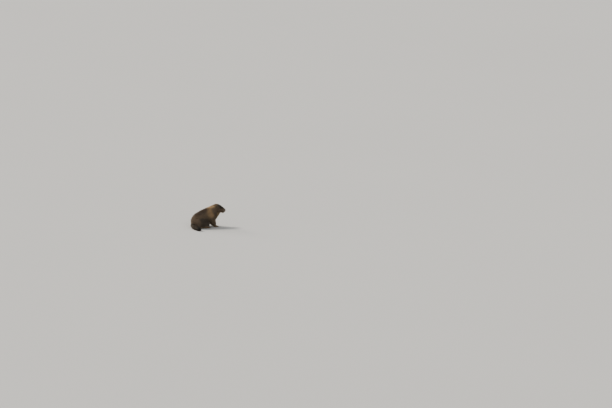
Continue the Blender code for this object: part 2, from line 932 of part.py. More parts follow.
def centre_on_floor():
    """Bring the middle of the footprint to the origin."""
    points = [v.co for obj in MARMOT.objects for v in obj.data.vertices]
    low = Vector([min(p[k] for p in points) for k in range(3)])
    high = Vector([max(p[k] for p in points) for k in range(3)])
    middle = Matrix.Translation((-(low.x + high.x) / 2, -(low.y + high.y) / 2, -low.z))
    for obj in MARMOT.objects:
        obj.data.transform(middle)


def build():
    whole = build_body()
    build_head(whole)
    build_tail(whole)
    remove(whole)
    centre_on_floor()


if __name__ == "__main__":
    build()
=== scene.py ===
"""Looks of a life-size alpine marmot: its skin, coat, eyes, nose, lips, claws and whiskers.

Metres, +Z up. Places on the animal are in centimetres in its own frame: x forwards, y to its
left, z up, with the origin on the floor under its middle. Places on the head are in the
head's frame, whose origin is the back of the skull.
"""

import logging
import math
from collections.abc import Iterable
from dataclasses import dataclass, field
from enum import Enum

import bmesh
import bpy
import numpy as np
from mathutils import Matrix, Vector
from mathutils.bvhtree import BVHTree
from mathutils.kdtree import KDTree


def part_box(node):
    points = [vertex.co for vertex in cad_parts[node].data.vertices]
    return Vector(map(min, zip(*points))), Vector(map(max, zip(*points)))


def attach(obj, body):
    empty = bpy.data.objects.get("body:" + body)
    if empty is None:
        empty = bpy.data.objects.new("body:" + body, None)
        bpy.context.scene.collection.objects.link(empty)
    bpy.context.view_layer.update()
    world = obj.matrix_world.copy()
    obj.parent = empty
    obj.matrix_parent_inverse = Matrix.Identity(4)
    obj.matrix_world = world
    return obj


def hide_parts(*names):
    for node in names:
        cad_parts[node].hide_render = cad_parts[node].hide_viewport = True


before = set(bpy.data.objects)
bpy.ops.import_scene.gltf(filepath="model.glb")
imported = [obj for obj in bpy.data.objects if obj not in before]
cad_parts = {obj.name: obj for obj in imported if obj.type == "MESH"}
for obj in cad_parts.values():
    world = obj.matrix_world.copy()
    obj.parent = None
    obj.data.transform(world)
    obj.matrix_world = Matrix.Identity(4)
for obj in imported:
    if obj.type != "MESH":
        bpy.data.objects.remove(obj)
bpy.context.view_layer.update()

log = logging.getLogger("marmot")

CM = 0.01
MM = 0.001
SEED = 7
SIDES = {"right": -1, "left": 1}

# How the part's head sits on its body
HEAD_BACK = (6.1, 0.0, 18.9)
HEAD_TURN = math.radians(-8)
HEAD_PITCH = math.radians(19)
# Where the part's hind feet end at the back, in the animal's frame
HEEL_X = -9.62

# Path of the tail: place, half width and half height with its hair, in cm
TAIL_PATH = (
    ((-13.4, 0.6, 4.0), 1.8, 1.8),
    ((-15.6, -2.0, 3.2), 2.0, 2.0),
    ((-16.2, -5.8, 2.4), 2.3, 2.2),
    ((-15.4, -9.6, 2.1), 2.6, 2.3),
    ((-14.2, -13.0, 2.0), 2.7, 2.3),
    ((-13.1, -16.0, 1.8), 2.3, 2.0),
    ((-12.3, -18.2, 1.4), 1.4, 1.4),
    ((-12.1, -18.9, 1.2), 0.7, 0.8),
)


class Zone(Enum):
    """The parts of the skin that the coat is laid on in turn."""

    HEAD = "head"
    EAR = "ear"
    NECK = "neck"
    TORSO = "torso"
    FORELEG = "foreleg"
    HIND_LEG = "hind_leg"
    FORE_FOOT = "fore_foot"
    HIND_FOOT = "hind_foot"
    TAIL = "tail"


NODE_ZONES = {
    "head": Zone.HEAD,
    "ear_left": Zone.EAR,
    "ear_right": Zone.EAR,
    "neck": Zone.NECK,
    "torso": Zone.TORSO,
    "leg_fore_left": Zone.FORELEG,
    "leg_fore_right": Zone.FORELEG,
    "leg_hind_left": Zone.HIND_LEG,
    "leg_hind_right": Zone.HIND_LEG,
    "foot_fore_left": Zone.FORE_FOOT,
    "foot_fore_right": Zone.FORE_FOOT,
    "foot_hind_left": Zone.HIND_FOOT,
    "foot_hind_right": Zone.HIND_FOOT,
    "tail": Zone.TAIL,
}
ZONE_LIST = list(Zone)


def zoned(zones: np.ndarray, *wanted: Zone) -> np.ndarray:
    """Which items belong to any of the wanted zones."""
    return np.isin(zones, [ZONE_LIST.index(zone) for zone in wanted])


# Helpers for meshes


def add_object(name: str, mesh: bpy.types.Mesh) -> bpy.types.Object:
    """Put a mesh in the scene as an object at the origin.

    Args:
        name: The piece's name.
        mesh: Its mesh.

    Returns:
        The object.
    """
    piece = bpy.data.objects.new(name, mesh)
    bpy.context.scene.collection.objects.link(piece)
    return piece


def put_in_order(form: bmesh.types.BMesh) -> None:
    """Sort edges and faces by their corners, as some operators leave their order to chance.

    Args:
        form: The bmesh, whose vertices keep their places.
    """
    form.verts.index_update()
    count = len(form.verts)

    def rank(part: bmesh.types.BMEdge | bmesh.types.BMFace) -> float:
        """A number that grows with the part's first corners."""
        found = 0
        for index in sorted(vert.index for vert in part.verts)[:3]:
            found = found * count + index
        return found

    form.edges.sort(key=rank)
    form.faces.sort(key=rank)


def object_from(name: str, form: bmesh.types.BMesh, smooth: bool = True) -> bpy.types.Object:
    """Turn a bmesh into an object and free it.

    Args:
        name: The piece's name.
        form: The finished bmesh.
        smooth: Whether its faces are shaded smooth.

    Returns:
        The new object, at the origin.
    """
    bmesh.ops.recalc_face_normals(form, faces=form.faces)
    put_in_order(form)
    mesh = bpy.data.meshes.new(name)
    form.to_mesh(mesh)
    form.free()
    if smooth:
        mesh.shade_smooth()
    return add_object(name, mesh)


def settle(piece: bpy.types.Object) -> None:
    """Make the piece's mesh what its modifiers make of it.

    Args:
        piece: The object that has the modifiers, and loses them.
    """
    bpy.context.view_layer.update()
    graph = bpy.context.evaluated_depsgraph_get()
    mesh = bpy.data.meshes.new_from_object(piece.evaluated_get(graph))
    piece.modifiers.clear()
    piece.data = mesh


def unit_rows(rows: np.ndarray) -> np.ndarray:
    """The rows at length one, and rows of nothing as they are."""
    return rows / (np.linalg.norm(rows, axis=1, keepdims=True) + 1e-9)


def curve_rows(rows: np.ndarray, steps: int) -> np.ndarray:
    """Lay a smooth curve through rows of numbers.

    Args:
        rows: One row for each station.
        steps: How many rows each span is split into.

    Returns:
        The rows along the curve, ends included.
    """
    found = []
    last = len(rows) - 1
    for i in range(last):
        a, b = rows[max(i - 1, 0)], rows[i]
        c, d = rows[i + 1], rows[min(i + 2, last)]
        for t in np.arange(steps) / steps:
            bend = 2 * a - 5 * b + 4 * c - d
            sway = 3 * b - a - 3 * c + d
            found.append(0.5 * (2 * b + (c - a) * t + bend * t**2 + sway * t**3))
    found.append(rows[last])
    return np.array(found)


def sweep(
    form: bmesh.types.BMesh,
    points: list[Vector],
    radii: list[tuple[float, float]],
    across: Vector,
    sides: int = 10,
) -> list[bmesh.types.BMVert]:
    """Sweep an oval along a path, closed at both ends.

    Args:
        form: The bmesh that takes the piece.
        points: The path, in metres.
        radii: Half width and half height at each point.
        across: The direction that the width takes, near enough.
        sides: Corners of the oval.

    Returns:
        The piece's vertices.
    """
    loops: list[list[bmesh.types.BMEdge]] = []
    made: list[bmesh.types.BMVert] = []
    for i, (point, (wide, high)) in enumerate(zip(points, radii)):
        way = (points[min(i + 1, len(points) - 1)] - points[max(i - 1, 0)]).normalized()
        up = way.cross(across).normalized()
        side = up.cross(way).normalized()
        turn = Matrix((side, up, way)).transposed().to_4x4()
        place = Matrix.Translation(point) @ turn @ Matrix.Diagonal((wide, high, 1, 1))
        ring = bmesh.ops.create_circle(form, segments=sides, radius=1, matrix=place)["verts"]
        made += ring
        loops.append(list(dict.fromkeys(edge for vert in ring for edge in vert.link_edges)))
    for one, two in zip(loops, loops[1:]):
        bmesh.ops.bridge_loops(form, edges=one + two)
    bmesh.ops.holes_fill(form, edges=loops[0] + loops[-1], sides=0)
    return made


def number_points(piece: bpy.types.Object, name: str, values: list[float]) -> None:
    """Store a number for each of a piece's vertices under a name."""
    made = piece.data.attributes.new(name, "FLOAT", "POINT")
    made.data.foreach_set("value", np.array(values, np.float32))


def finish_piece(
    piece: bpy.types.Object, finish: bpy.types.Material, slot: str, *replaced: str
) -> None:
    """Give a piece its material and its place in the part.

    Args:
        piece: The finished piece.
        finish: Its material.
        slot: Not used.
        *replaced: The part's nodes that it stands for.
    """
    piece.data.materials.append(finish)
    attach(piece, "root")
    if replaced:
        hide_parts(*replaced)


def search_tree(points: np.ndarray, chosen: Iterable[int]) -> KDTree:
    """Make a search tree over the chosen rows of points.

    Args:
        points: Places, one a row.
        chosen: The rows that the tree takes.

    Returns:
        The tree, whose items carry their rows' numbers.
    """
    rows = list(chosen)
    tree = KDTree(len(rows))
    for row in rows:
        tree.insert(points[row], int(row))
    tree.balance()
    return tree


def nearest_rows(tree: KDTree, points: np.ndarray) -> np.ndarray:
    """The row of the tree's item that is nearest to each point."""
    return np.array([tree.find(Vector(point))[1] for point in points])


def frame_of(place: Vector, out: Vector, up: Vector) -> Matrix:
    """A matrix at a place whose z points out and whose y points up as far as it can.

    Args:
        place: Where the frame stands.
        out: The way that z takes.
        up: The way that y takes, near enough.

    Returns:
        The matrix.
    """
    out = out.normalized()
    up = (up - out * out.dot(up)).normalized()
    return Matrix.Translation(place) @ Matrix((up.cross(out), up, out)).transposed().to_4x4()


# Helpers for materials

# The sockets of a Mix node that mixes colours
MIX_ONE, MIX_TWO, MIX_RESULT = 6, 7, 2


class Graph:
    """Adds nodes to a material or a group with less text."""

    def __init__(self, tree: bpy.types.NodeTree) -> None:
        """Take the tree that gets the nodes."""
        self.tree = tree

    def node(self, kind: str, **values: object) -> bpy.types.Node:
        """Add a node and set its properties.

        Args:
            kind: Its type without the leading ShaderNode.
            **values: Properties of the node.

        Returns:
            The node.
        """
        made = self.tree.nodes.new("ShaderNode" + kind)
        for name, value in values.items():
            setattr(made, name, value)
        return made

    def feed(self, socket: bpy.types.NodeSocket, value: object) -> None:
        """Link a socket to another, or set its number, vector or colour.

        Args:
            socket: The input that is fed.
            value: A socket, a number, a vector or a colour.
        """
        if isinstance(value, bpy.types.NodeSocket):
            self.tree.links.new(value, socket)
        elif isinstance(value, (tuple, list, Vector)):
            fill = (*value, 1.0) if len(value) == 3 and socket.type == "RGBA" else value
            socket.default_value = tuple(fill)
        else:
            socket.default_value = value

    def math(self, operation: str, one: object, two: object = 0.0) -> bpy.types.NodeSocket:
        """A Math node with its first two inputs.

        Args:
            operation: What the node does.
            one: Its first input.
            two: Its second input.

        Returns:
            The node's value.
        """
        made = self.node("Math", operation=operation)
        self.feed(made.inputs[0], one)
        self.feed(made.inputs[1], two)
        return made.outputs[0]

    def vector(self, operation: str, one: object, two: object = (0, 0, 0)) -> bpy.types.Node:
        """A Vector Math node with its first two inputs.

        Args:
            operation: What the node does.
            one: Its first input.
            two: Its second input.

        Returns:
            The node.
        """
        made = self.node("VectorMath", operation=operation)
        self.feed(made.inputs[0], one)
        self.feed(made.inputs[1], two)
        return made

    def mix(
        self, factor: object, one: object, two: object, blend: str = "MIX"
    ) -> bpy.types.NodeSocket:
        """Mix two colours by a factor.

        Args:
            factor: The share of the second colour.
            one: The first colour.
            two: The second colour.
            blend: How the two are mixed.

        Returns:
            The mixed colour.
        """
        made = self.node("Mix", data_type="RGBA", blend_type=blend)
        self.feed(made.inputs[0], factor)
        self.feed(made.inputs[MIX_ONE], one)
        self.feed(made.inputs[MIX_TWO], two)
        return made.outputs[MIX_RESULT]

    def span(
        self, value: object, low: float, high: float, to_low: float, to_high: float
    ) -> bpy.types.NodeSocket:
        """Map a range of values onto another, smoothly and clamped.

        Args:
            value: The value that is mapped.
            low: Where its range starts.
            high: Where its range ends.
            to_low: What the start becomes.
            to_high: What the end becomes.

        Returns:
            The mapped value.
        """
        made = self.node("MapRange", interpolation_type="SMOOTHSTEP")
        for socket, number in zip(made.inputs, (value, low, high, to_low, to_high)):
            self.feed(socket, number)
        return made.outputs[0]

    def noise(
        self, place: object, scale: float, detail: float = 2.0, rough: float = 0.5
    ) -> bpy.types.Node:
        """A Noise Texture over a place.

        Args:
            place: Where the noise is read.
            scale: How many waves a metre.
            detail: How many finer layers it has.
            rough: How strong the finer layers are.

        Returns:
            The node.
        """
        made = self.node("TexNoise")
        self.feed(made.inputs["Vector"], place)
        made.inputs["Scale"].default_value = scale
        made.inputs["Detail"].default_value = detail
        made.inputs["Roughness"].default_value = rough
        return made

    def bump(self, height: object, strength: float, distance: float) -> bpy.types.NodeSocket:
        """A Bump node over a height.

        Args:
            height: The height over the surface, from 0 to 1.
            strength: How much of the bump shows.
            distance: The height in metres that 1 stands for.

        Returns:
            The bent normal.
        """
        made = self.node("Bump")
        made.inputs["Strength"].default_value = strength
        made.inputs["Distance"].default_value = distance
        self.feed(made.inputs["Height"], height)
        return made.outputs[0]

    def group(self, tree: bpy.types.NodeTree, **inputs: object) -> bpy.types.Node:
        """Place a shared group and feed its named inputs.

        Args:
            tree: The group.
            **inputs: Its inputs, with _ for a space.

        Returns:
            The group's node.
        """
        made = self.node("Group", node_tree=tree)
        for name, value in inputs.items():
            self.feed(made.inputs[name.replace("_", " ")], value)
        return made


def new_group(
    name: str, inputs: dict[str, str], outputs: dict[str, str]
) -> tuple[Graph, bpy.types.Node, bpy.types.Node]:
    """Start a shader node group.

    Args:
        name: The group's name.
        inputs: Socket types by input name.
        outputs: Socket types by output name.

    Returns:
        The graph, its input node and its output node.
    """
    tree = bpy.data.node_groups.new(name, "ShaderNodeTree")
    for way, sockets in (("INPUT", inputs), ("OUTPUT", outputs)):
        for label, kind in sockets.items():
            tree.interface.new_socket(label, in_out=way, socket_type="NodeSocket" + kind)
    graph = Graph(tree)
    return graph, tree.nodes.new("NodeGroupInput"), tree.nodes.new("NodeGroupOutput")


def new_material(name: str, **constants: float) -> tuple[bpy.types.Material, Graph, bpy.types.Node]:
    """Start a material.

    Args:
        name: The material's name.
        **constants: Plain numbers for the shader's sockets, with _ for a space.

    Returns:
        The material, its graph and its Principled shader.
    """
    made = bpy.data.materials.new(name)
    made.use_nodes = True
    shader = made.node_tree.nodes["Principled BSDF"]
    for label, value in constants.items():
        shader.inputs[label.replace("_", " ")].default_value = value
    return made, Graph(made.node_tree), shader


# Where the animal stands


@dataclass(frozen=True)
class BodyFrame:
    """The animal's own frame and its head's, as matrices to the scene."""

    body: Matrix
    head: Matrix

    @classmethod
    def measured(cls) -> "BodyFrame":
        """Find the frames from where the part's hind feet stand.

        Returns:
            Both frames.
        """
        left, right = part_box("foot_hind_left"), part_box("foot_hind_right")
        middle = (left[1].y + right[0].y) / 2
        body = Matrix.Translation((left[0].x - HEEL_X * CM, middle, 0))
        head = (
            body
            @ Matrix.Translation(Vector(HEAD_BACK) * CM)
            @ Matrix.Rotation(HEAD_TURN, 4, "Z")
            @ Matrix.Rotation(HEAD_PITCH, 4, "Y")
        )
        return cls(body, head)

    def on_body(self, place: tuple[float, float, float]) -> Vector:
        """A place on the body, given in cm, in the scene."""
        return self.body @ (Vector(place) * CM)

    def on_head(self, place: tuple[float, float, float]) -> Vector:
        """A place on the head, given in cm, in the scene."""
        return self.head @ (Vector(place) * CM)

    def head_way(self, way: tuple[float, float, float]) -> Vector:
        """A direction of the head's frame in the scene."""
        return (self.head.to_3x3() @ Vector(way)).normalized()


# The lie of the coat


@dataclass(frozen=True)
class Guide:
    """How the coat lies at one place.

    Places are in cm. The lie is the way the tips point, the hair is its length in mm, and
    the lift its angle off the skin in degrees.
    """

    place: tuple[float, float, float]
    lie: tuple[float, float, float]
    hair: float
    lift: float

    def both_sides(self) -> list["Guide"]:
        """The guide and, where it isn't on the midline, its mirror image.

        Returns:
            One guide or two.
        """
        x, y, z = self.place
        if y == 0:
            return [self]
        u, v, w = self.lie
        return [self, Guide((x, -y, z), (u, -v, w), self.hair, self.lift)]


BODY_GUIDES = (
    Guide((4.0, 0, 20.5), (-1, 0, -0.25), 20, 20),
    Guide((0.0, 0, 18.8), (-1, 0, -0.45), 25, 20),
    Guide((-5.0, 0, 16.2), (-1, 0, -0.5), 27, 20),
    Guide((-10.0, 0, 13.8), (-0.9, 0, -0.65), 29, 22),
    Guide((-14.0, 0, 10.5), (-0.5, 0, -1), 30, 22),
    Guide((-16.0, 0, 5.5), (-0.2, 0, -1), 28, 20),
    Guide((5.0, 4.8, 16.5), (-0.7, 0.1, -0.75), 22, 24),
    Guide((3.0, 6.6, 13.0), (-0.45, 0.1, -0.9), 22, 18),
    Guide((-1.0, 7.0, 11.5), (-0.85, 0.1, -0.6), 27, 18),
    Guide((-6.0, 8.0, 10.5), (-0.9, 0.05, -0.6), 28, 18),
    Guide((-8.0, 8.5, 8.0), (-0.5, 0.1, -0.9), 27, 18),
    Guide((-13.0, 7.0, 6.0), (-0.45, 0, -1), 28, 18),
    Guide((-7.0, 9.0, 4.0), (-0.15, 0.1, -1), 22, 14),
    Guide((-1.2, 8.6, 4.6), (-0.3, 0.1, -1), 16, 14),
    Guide((0.0, 7.5, 4.0), (-0.1, 0, -1), 13, 14),
    Guide((-8.5, 7.5, 3.0), (-0.2, 0, -1), 14, 12),
    Guide((-5.0, 7.3, 2.4), (1, 0, -0.1), 8, 12),
    Guide((-1.0, 7.4, 1.8), (1, 0, -0.2), 6, 12),
    Guide((-2.0, 0, 3.2), (-0.9, 0, -0.2), 22, 14),
    Guide((6.5, 0, 8.4), (-0.5, 0, -0.9), 22, 18),
    Guide((8.3, 0, 11.0), (-0.35, 0, -1), 24, 20),
    Guide((9.8, 0, 13.4), (-0.6, 0, -0.8), 18, 16),
    Guide((3.0, 2.5, 6.0), (-0.4, 0, -0.9), 14, 12),
    Guide((4.0, 7.0, 9.5), (-0.3, 0, -1), 18, 14),
    Guide((1.5, 6.8, 7.0), (-0.5, 0, -0.9), 16, 16),
    Guide((5.0, 5.0, 4.2), (0.15, 0, -1), 10, 12),
    Guide((5.8, 4.0, 2.6), (0.5, 0, -1), 8, 12),
    Guide((7.0, 3.9, 1.9), (1, 0, -0.3), 6, 12),
    Guide((8.4, 3.9, 1.1), (1, 0, -0.4), 4.5, 12),
)

HEAD_GUIDES = (
    Guide((10.6, 0, 1.3), (-1, 0, 0.3), 3, 8),
    Guide((8.5, 0, 2.2), (-1, 0, 0.15), 5, 10),
    Guide((6.0, 0, 3.0), (-1, 0, 0.1), 8, 12),
    Guide((3.0, 0, 3.5), (-1, 0, -0.1), 11, 14),
    Guide((0.5, 0, 3.1), (-1, 0, -0.2), 17, 18),
    Guide((9.6, 2.0, -0.6), (-1, 0.2, -0.35), 4.5, 10),
    Guide((10.9, 0.9, -1.2), (-0.5, 0.8, -0.5), 3, 8),
    Guide((7.8, 2.3, 0.6), (-1, 0.3, 0.1), 5, 10),
    Guide((6.7, 2.7, 1.2), (-1, 0.2, 0.5), 3.5, 8),
    Guide((5.6, 3.4, 0.2), (-1, 0.3, -0.4), 4.5, 9),
    Guide((5.4, 2.6, 2.3), (-1, 0.2, 0.3), 4.5, 9),
    Guide((4.4, 3.6, 1.4), (-1, 0.1, 0), 7, 12),
    Guide((3.6, 4.3, -1.0), (-0.9, 0.2, -0.35), 13, 18),
    Guide((1.6, 4.2, -2.0), (-0.9, 0.2, -0.5), 18, 22),
    Guide((6.5, 2.2, -3.2), (-1, 0.1, -0.3), 8, 12),
    Guide((9.4, 0, -3.1), (-1, 0, -0.3), 5, 12),
    Guide((5.0, 0, -4.2), (-1, 0, -0.3), 12, 14),
    Guide((2.9, 3.9, 1.3), (-1, 0.1, 0.2), 5, 10),
    Guide((1.0, 3.9, 1.3), (-1, 0.1, -0.3), 15, 18),
)

EAR_GUIDE = Guide((0, 0, 0), (-0.3, 0, 1), 2.0, 12)
# Hair from the toes to the ankle, and how far from the claws each is reached
FOOT_HAIR = (2.4, 7.5)
FOOT_REACH = (7.0, 34.0)
FOOT_LIE = (1.0, 0.0, -0.2)
TAIL_HAIR = (21.0, 42.0)
TAIL_LIFT = 19.0
# The tail's hair lies as the rump's at its root, and turns to its length over this stretch
TAIL_ROOT_LIE = (-0.3, -0.6, -0.75)
TAIL_TURN = (0.14, 0.36)
TAIL_OVER = 3 * MM


@dataclass
class Lie:
    """The coat's direction, length and lift for each point of the skin.

    The neck takes a share of the head's guides, which fades to nothing away from the
    middle of the head's back.
    """

    places: BodyFrame
    softness: float = 4 * MM
    falloff: float = 3.5
    neck_middle: tuple[float, float, float] = (1.0, 0.0, 0.0)
    neck_fade: tuple[float, float] = (1.3, 0.06)
    neck_share: float = 0.5
    tail_steps: int = 8

    def blend(
        self, points: np.ndarray, guides: tuple[Guide, ...], matrix: Matrix
    ) -> tuple[np.ndarray, np.ndarray, np.ndarray]:
        """Blend guides by how near they are.

        Args:
            points: Places in the scene, one a row.
            guides: The guides of this region.
            matrix: The frame that the guides are given in.

        Returns:
            The lie, the hair's length in metres and the lift in radians, a row a point.
        """
        table = [g for guide in guides for g in guide.both_sides()]
        spots = np.array([matrix @ (Vector(g.place) * CM) for g in table])
        turn = matrix.to_3x3()
        lies = np.array([(turn @ Vector(g.lie)).normalized() for g in table])
        numbers = np.array([(g.hair * MM, math.radians(g.lift)) for g in table])
        apart = np.linalg.norm(points[:, None] - spots[None], axis=2)
        weight = 1 / (apart + self.softness) ** self.falloff
        weight /= weight.sum(1, keepdims=True)
        sizes = weight @ numbers
        return weight @ lies, sizes[:, 0], sizes[:, 1]

    def tail_part(self, points: np.ndarray) -> tuple[np.ndarray, np.ndarray]:
        """How far along the tail points are, from 0 to 1, and the way it runs there.

        Args:
            points: Places in the scene, one a row.

        Returns:
            The shares and the ways.
        """
        path = curve_rows(np.array([p for p, _, _ in TAIL_PATH], float), self.tail_steps)
        path = np.array([self.places.on_body(tuple(p)) for p in path])
        ways = np.gradient(path, axis=0)
        ways /= np.linalg.norm(ways, axis=1, keepdims=True)
        nearest = np.linalg.norm(points[:, None] - path[None], axis=2).argmin(1)
        return nearest / (len(path) - 1), ways[nearest]

    def along_tail(self, points: np.ndarray) -> tuple[np.ndarray, np.ndarray, np.ndarray]:
        """The lie, length and lift on the tail, whose hair lies along its path.

        Args:
            points: Places in the scene, one a row.

        Returns:
            The lie, length and lift of each point.
        """
        part, ways = self.tail_part(points)
        hair = (TAIL_HAIR[0] + (TAIL_HAIR[1] - TAIL_HAIR[0]) * part) * MM
        turned = np.clip((part - TAIL_TURN[0]) / (TAIL_TURN[1] - TAIL_TURN[0]), 0, 1)[:, None]
        root = np.array(self.places.body.to_3x3() @ Vector(TAIL_ROOT_LIE).normalized())
        return root + (ways - root) * turned, hair, np.full(len(points), math.radians(TAIL_LIFT))

    def left_of_tail(self, points: np.ndarray) -> np.ndarray:
        """How long the tail's hair may be at each point, so that it ends with the tail."""
        tip = np.array(self.places.on_body(TAIL_PATH[-1][0]))
        return np.linalg.norm(tip - points, axis=1) + TAIL_OVER

    def on_feet(self, points: np.ndarray) -> tuple[np.ndarray, np.ndarray]:
        """How near points are to the toes, from 0 to 1, and the hair's length there.

        Args:
            points: Places in the scene, one a row.

        Returns:
            The nearness and the lengths in metres.
        """
        roots = []
        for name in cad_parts:
            if name.startswith("claw"):
                low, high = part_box(name)
                roots.append((low.x, (low.y + high.y) / 2, (low.z + high.z) / 2))
        apart = np.linalg.norm(points[:, None] - np.array(roots)[None], axis=2).min(1) / MM
        far = np.clip((apart - FOOT_REACH[0]) / (FOOT_REACH[1] - FOOT_REACH[0]), 0, 1)
        return 1 - far, (FOOT_HAIR[0] + (FOOT_HAIR[1] - FOOT_HAIR[0]) * far) * MM

    def at(
        self, points: np.ndarray, zones: np.ndarray
    ) -> tuple[np.ndarray, np.ndarray, np.ndarray]:
        """The lie, length and lift for points that belong to zones.

        Args:
            points: Places in the scene, one a row.
            zones: Each point's zone, as its place in ZONE_LIST.

        Returns:
            The lie, length and lift of each point.
        """
        lie, hair, lift = self.blend(points, BODY_GUIDES, self.places.body)
        most, reach = self.neck_fade
        for zone in (Zone.HEAD, Zone.NECK):
            mask = zoned(zones, zone)
            found = self.blend(points[mask], HEAD_GUIDES, self.places.head)
            share = np.ones(mask.sum())
            if zone is Zone.NECK:
                middle = np.array(self.places.on_head(self.neck_middle))
                apart = np.linalg.norm(points[mask] - middle, axis=1)
                share = np.clip(most - apart / reach, 0, 1) * self.neck_share
            lie[mask] += (found[0] - lie[mask]) * share[:, None]
            hair[mask] += (found[1] - hair[mask]) * share
            lift[mask] += (found[2] - lift[mask]) * share
        ear = zoned(zones, Zone.EAR)
        lie[ear] = np.array(self.places.head_way(EAR_GUIDE.lie))
        hair[ear] = EAR_GUIDE.hair * MM
        lift[ear] = math.radians(EAR_GUIDE.lift)
        foot = zoned(zones, Zone.FORE_FOOT, Zone.HIND_FOOT)
        near_toes, short = self.on_feet(points[foot])
        hair[foot] = np.minimum(hair[foot], short)
        ahead = np.array(Vector(FOOT_LIE).normalized())
        lie[foot] += (ahead - lie[foot]) * near_toes[:, None]
        tail = zoned(zones, Zone.TAIL)
        lie[tail], hair[tail], lift[tail] = self.along_tail(points[tail])
        return lie, hair, lift


# Colours of skin and coat, with painted light and shade on some patches


@dataclass(frozen=True)
class Mark:
    """A soft patch of colour on the coat; some patches are painted highlights or painted shade.

    The place and radii are in cm, on the body or on the head. A patch on the midline or
    on the left is on both sides, and one on the right is there alone.
    """

    place: tuple[float, float, float]
    radii: tuple[float, float, float]
    colour: tuple[float, float, float]
    on_head: bool = False
    strength: float = 1.0


GROUND = (0.15, 0.108, 0.068)
MARKS_AND_PAINTED_LIGHT = (
    Mark((-6.0, 0, 17.0), (11.0, 6.5, 6.0), (0.108, 0.076, 0.054)),
    # Paler back of the rump: painted highlight of rim light from behind
    Mark((-15.0, 0, 8.0), (5.5, 7.0, 7.0), (0.245, 0.186, 0.134)),
    # Tan nape: its own tan, brightened further as a painted highlight
    Mark((4.5, 0, 20.0), (5.0, 4.6, 4.0), (0.62, 0.46, 0.27)),
    # Tan shoulder: its own tan, partly a painted highlight
    Mark((2.4, 5.6, 15.4), (3.8, 3.8, 5.2), (0.38, 0.265, 0.145)),
    Mark((6.6, 5.0, 15.0), (2.4, 3.0, 4.0), (0.125, 0.09, 0.06)),
    # Dark lower flanks: painted shade, darker than the coat's own colour there
    Mark((-4.0, 8.0, 6.5), (7.0, 4.0, 5.5), (0.07, 0.052, 0.037)),
    Mark((-3.5, 8.0, 11.8), (4.6, 3.6, 1.9), (0.16, 0.118, 0.075), strength=0.8),
    # Paler thigh: its own brown, partly brightened as a painted highlight
    Mark((-11.5, 7.5, 7.0), (3.6, 4.0, 4.5), (0.2, 0.146, 0.103)),
    Mark((-2.0, 0, 3.0), (9.0, 4.6, 4.0), (0.26, 0.17, 0.09)),
    Mark((8.6, 0, 11.8), (3.6, 3.4, 5.5), (0.42, 0.33, 0.18)),
    Mark((4.8, 5.0, 5.0), (3.0, 3.0, 4.5), (0.145, 0.102, 0.063)),
    Mark((6.5, 4.0, 0.8), (4.5, 3.2, 2.4), (0.24, 0.172, 0.105)),
    Mark((-4.0, 7.2, 0.8), (7.0, 3.0, 2.0), (0.25, 0.178, 0.108)),
    Mark((-15.4, -7.0, 2.4), (4.5, 8.0, 4.5), (0.09, 0.066, 0.045)),
    Mark((-12.6, -17.6, 1.6), (5.0, 6.0, 5.0), (0.026, 0.021, 0.018)),
    Mark((4.5, 0, 2.6), (5.5, 3.6, 2.6), (0.025, 0.0225, 0.02), on_head=True),
    # Tan back of the head: its own tan, partly a painted highlight
    Mark((1.2, 0, 3.2), (2.4, 3.0, 1.6), (0.26, 0.19, 0.12), on_head=True),
    Mark((4.2, 4.0, -1.2), (4.0, 2.4, 2.6), (0.15, 0.108, 0.074), on_head=True),
    Mark((1.4, 4.2, -1.8), (2.6, 2.4, 3.0), (0.19, 0.138, 0.09), on_head=True),
    Mark((5.4, 0, -4.6), (3.6, 2.8, 1.8), (0.46, 0.36, 0.2), on_head=True),
    Mark((10.2, 0, -0.6), (2.6, 2.5, 1.7), (0.25, 0.21, 0.168), on_head=True),
    Mark((9.0, 0, -3.4), (3.2, 2.2, 1.3), (0.36, 0.3, 0.2), on_head=True),
    Mark((9.8, 0, 1.8), (2.6, 1.3, 1.0), (0.055, 0.046, 0.04), on_head=True),
    Mark((5.9, 3.0, 1.25), (1.5, 1.0, 1.1), (0.035, 0.029, 0.024), on_head=True, strength=0.8),
    Mark((2.2, 4.5, 2.9), (1.5, 1.3, 1.4), (0.22, 0.16, 0.1), on_head=True),
    # Dark spot in the ear's cup: painted shade in its hollow
    Mark((2.45, 4.85, 2.95), (0.6, 0.5, 0.6), (0.05, 0.034, 0.026), on_head=True),
)


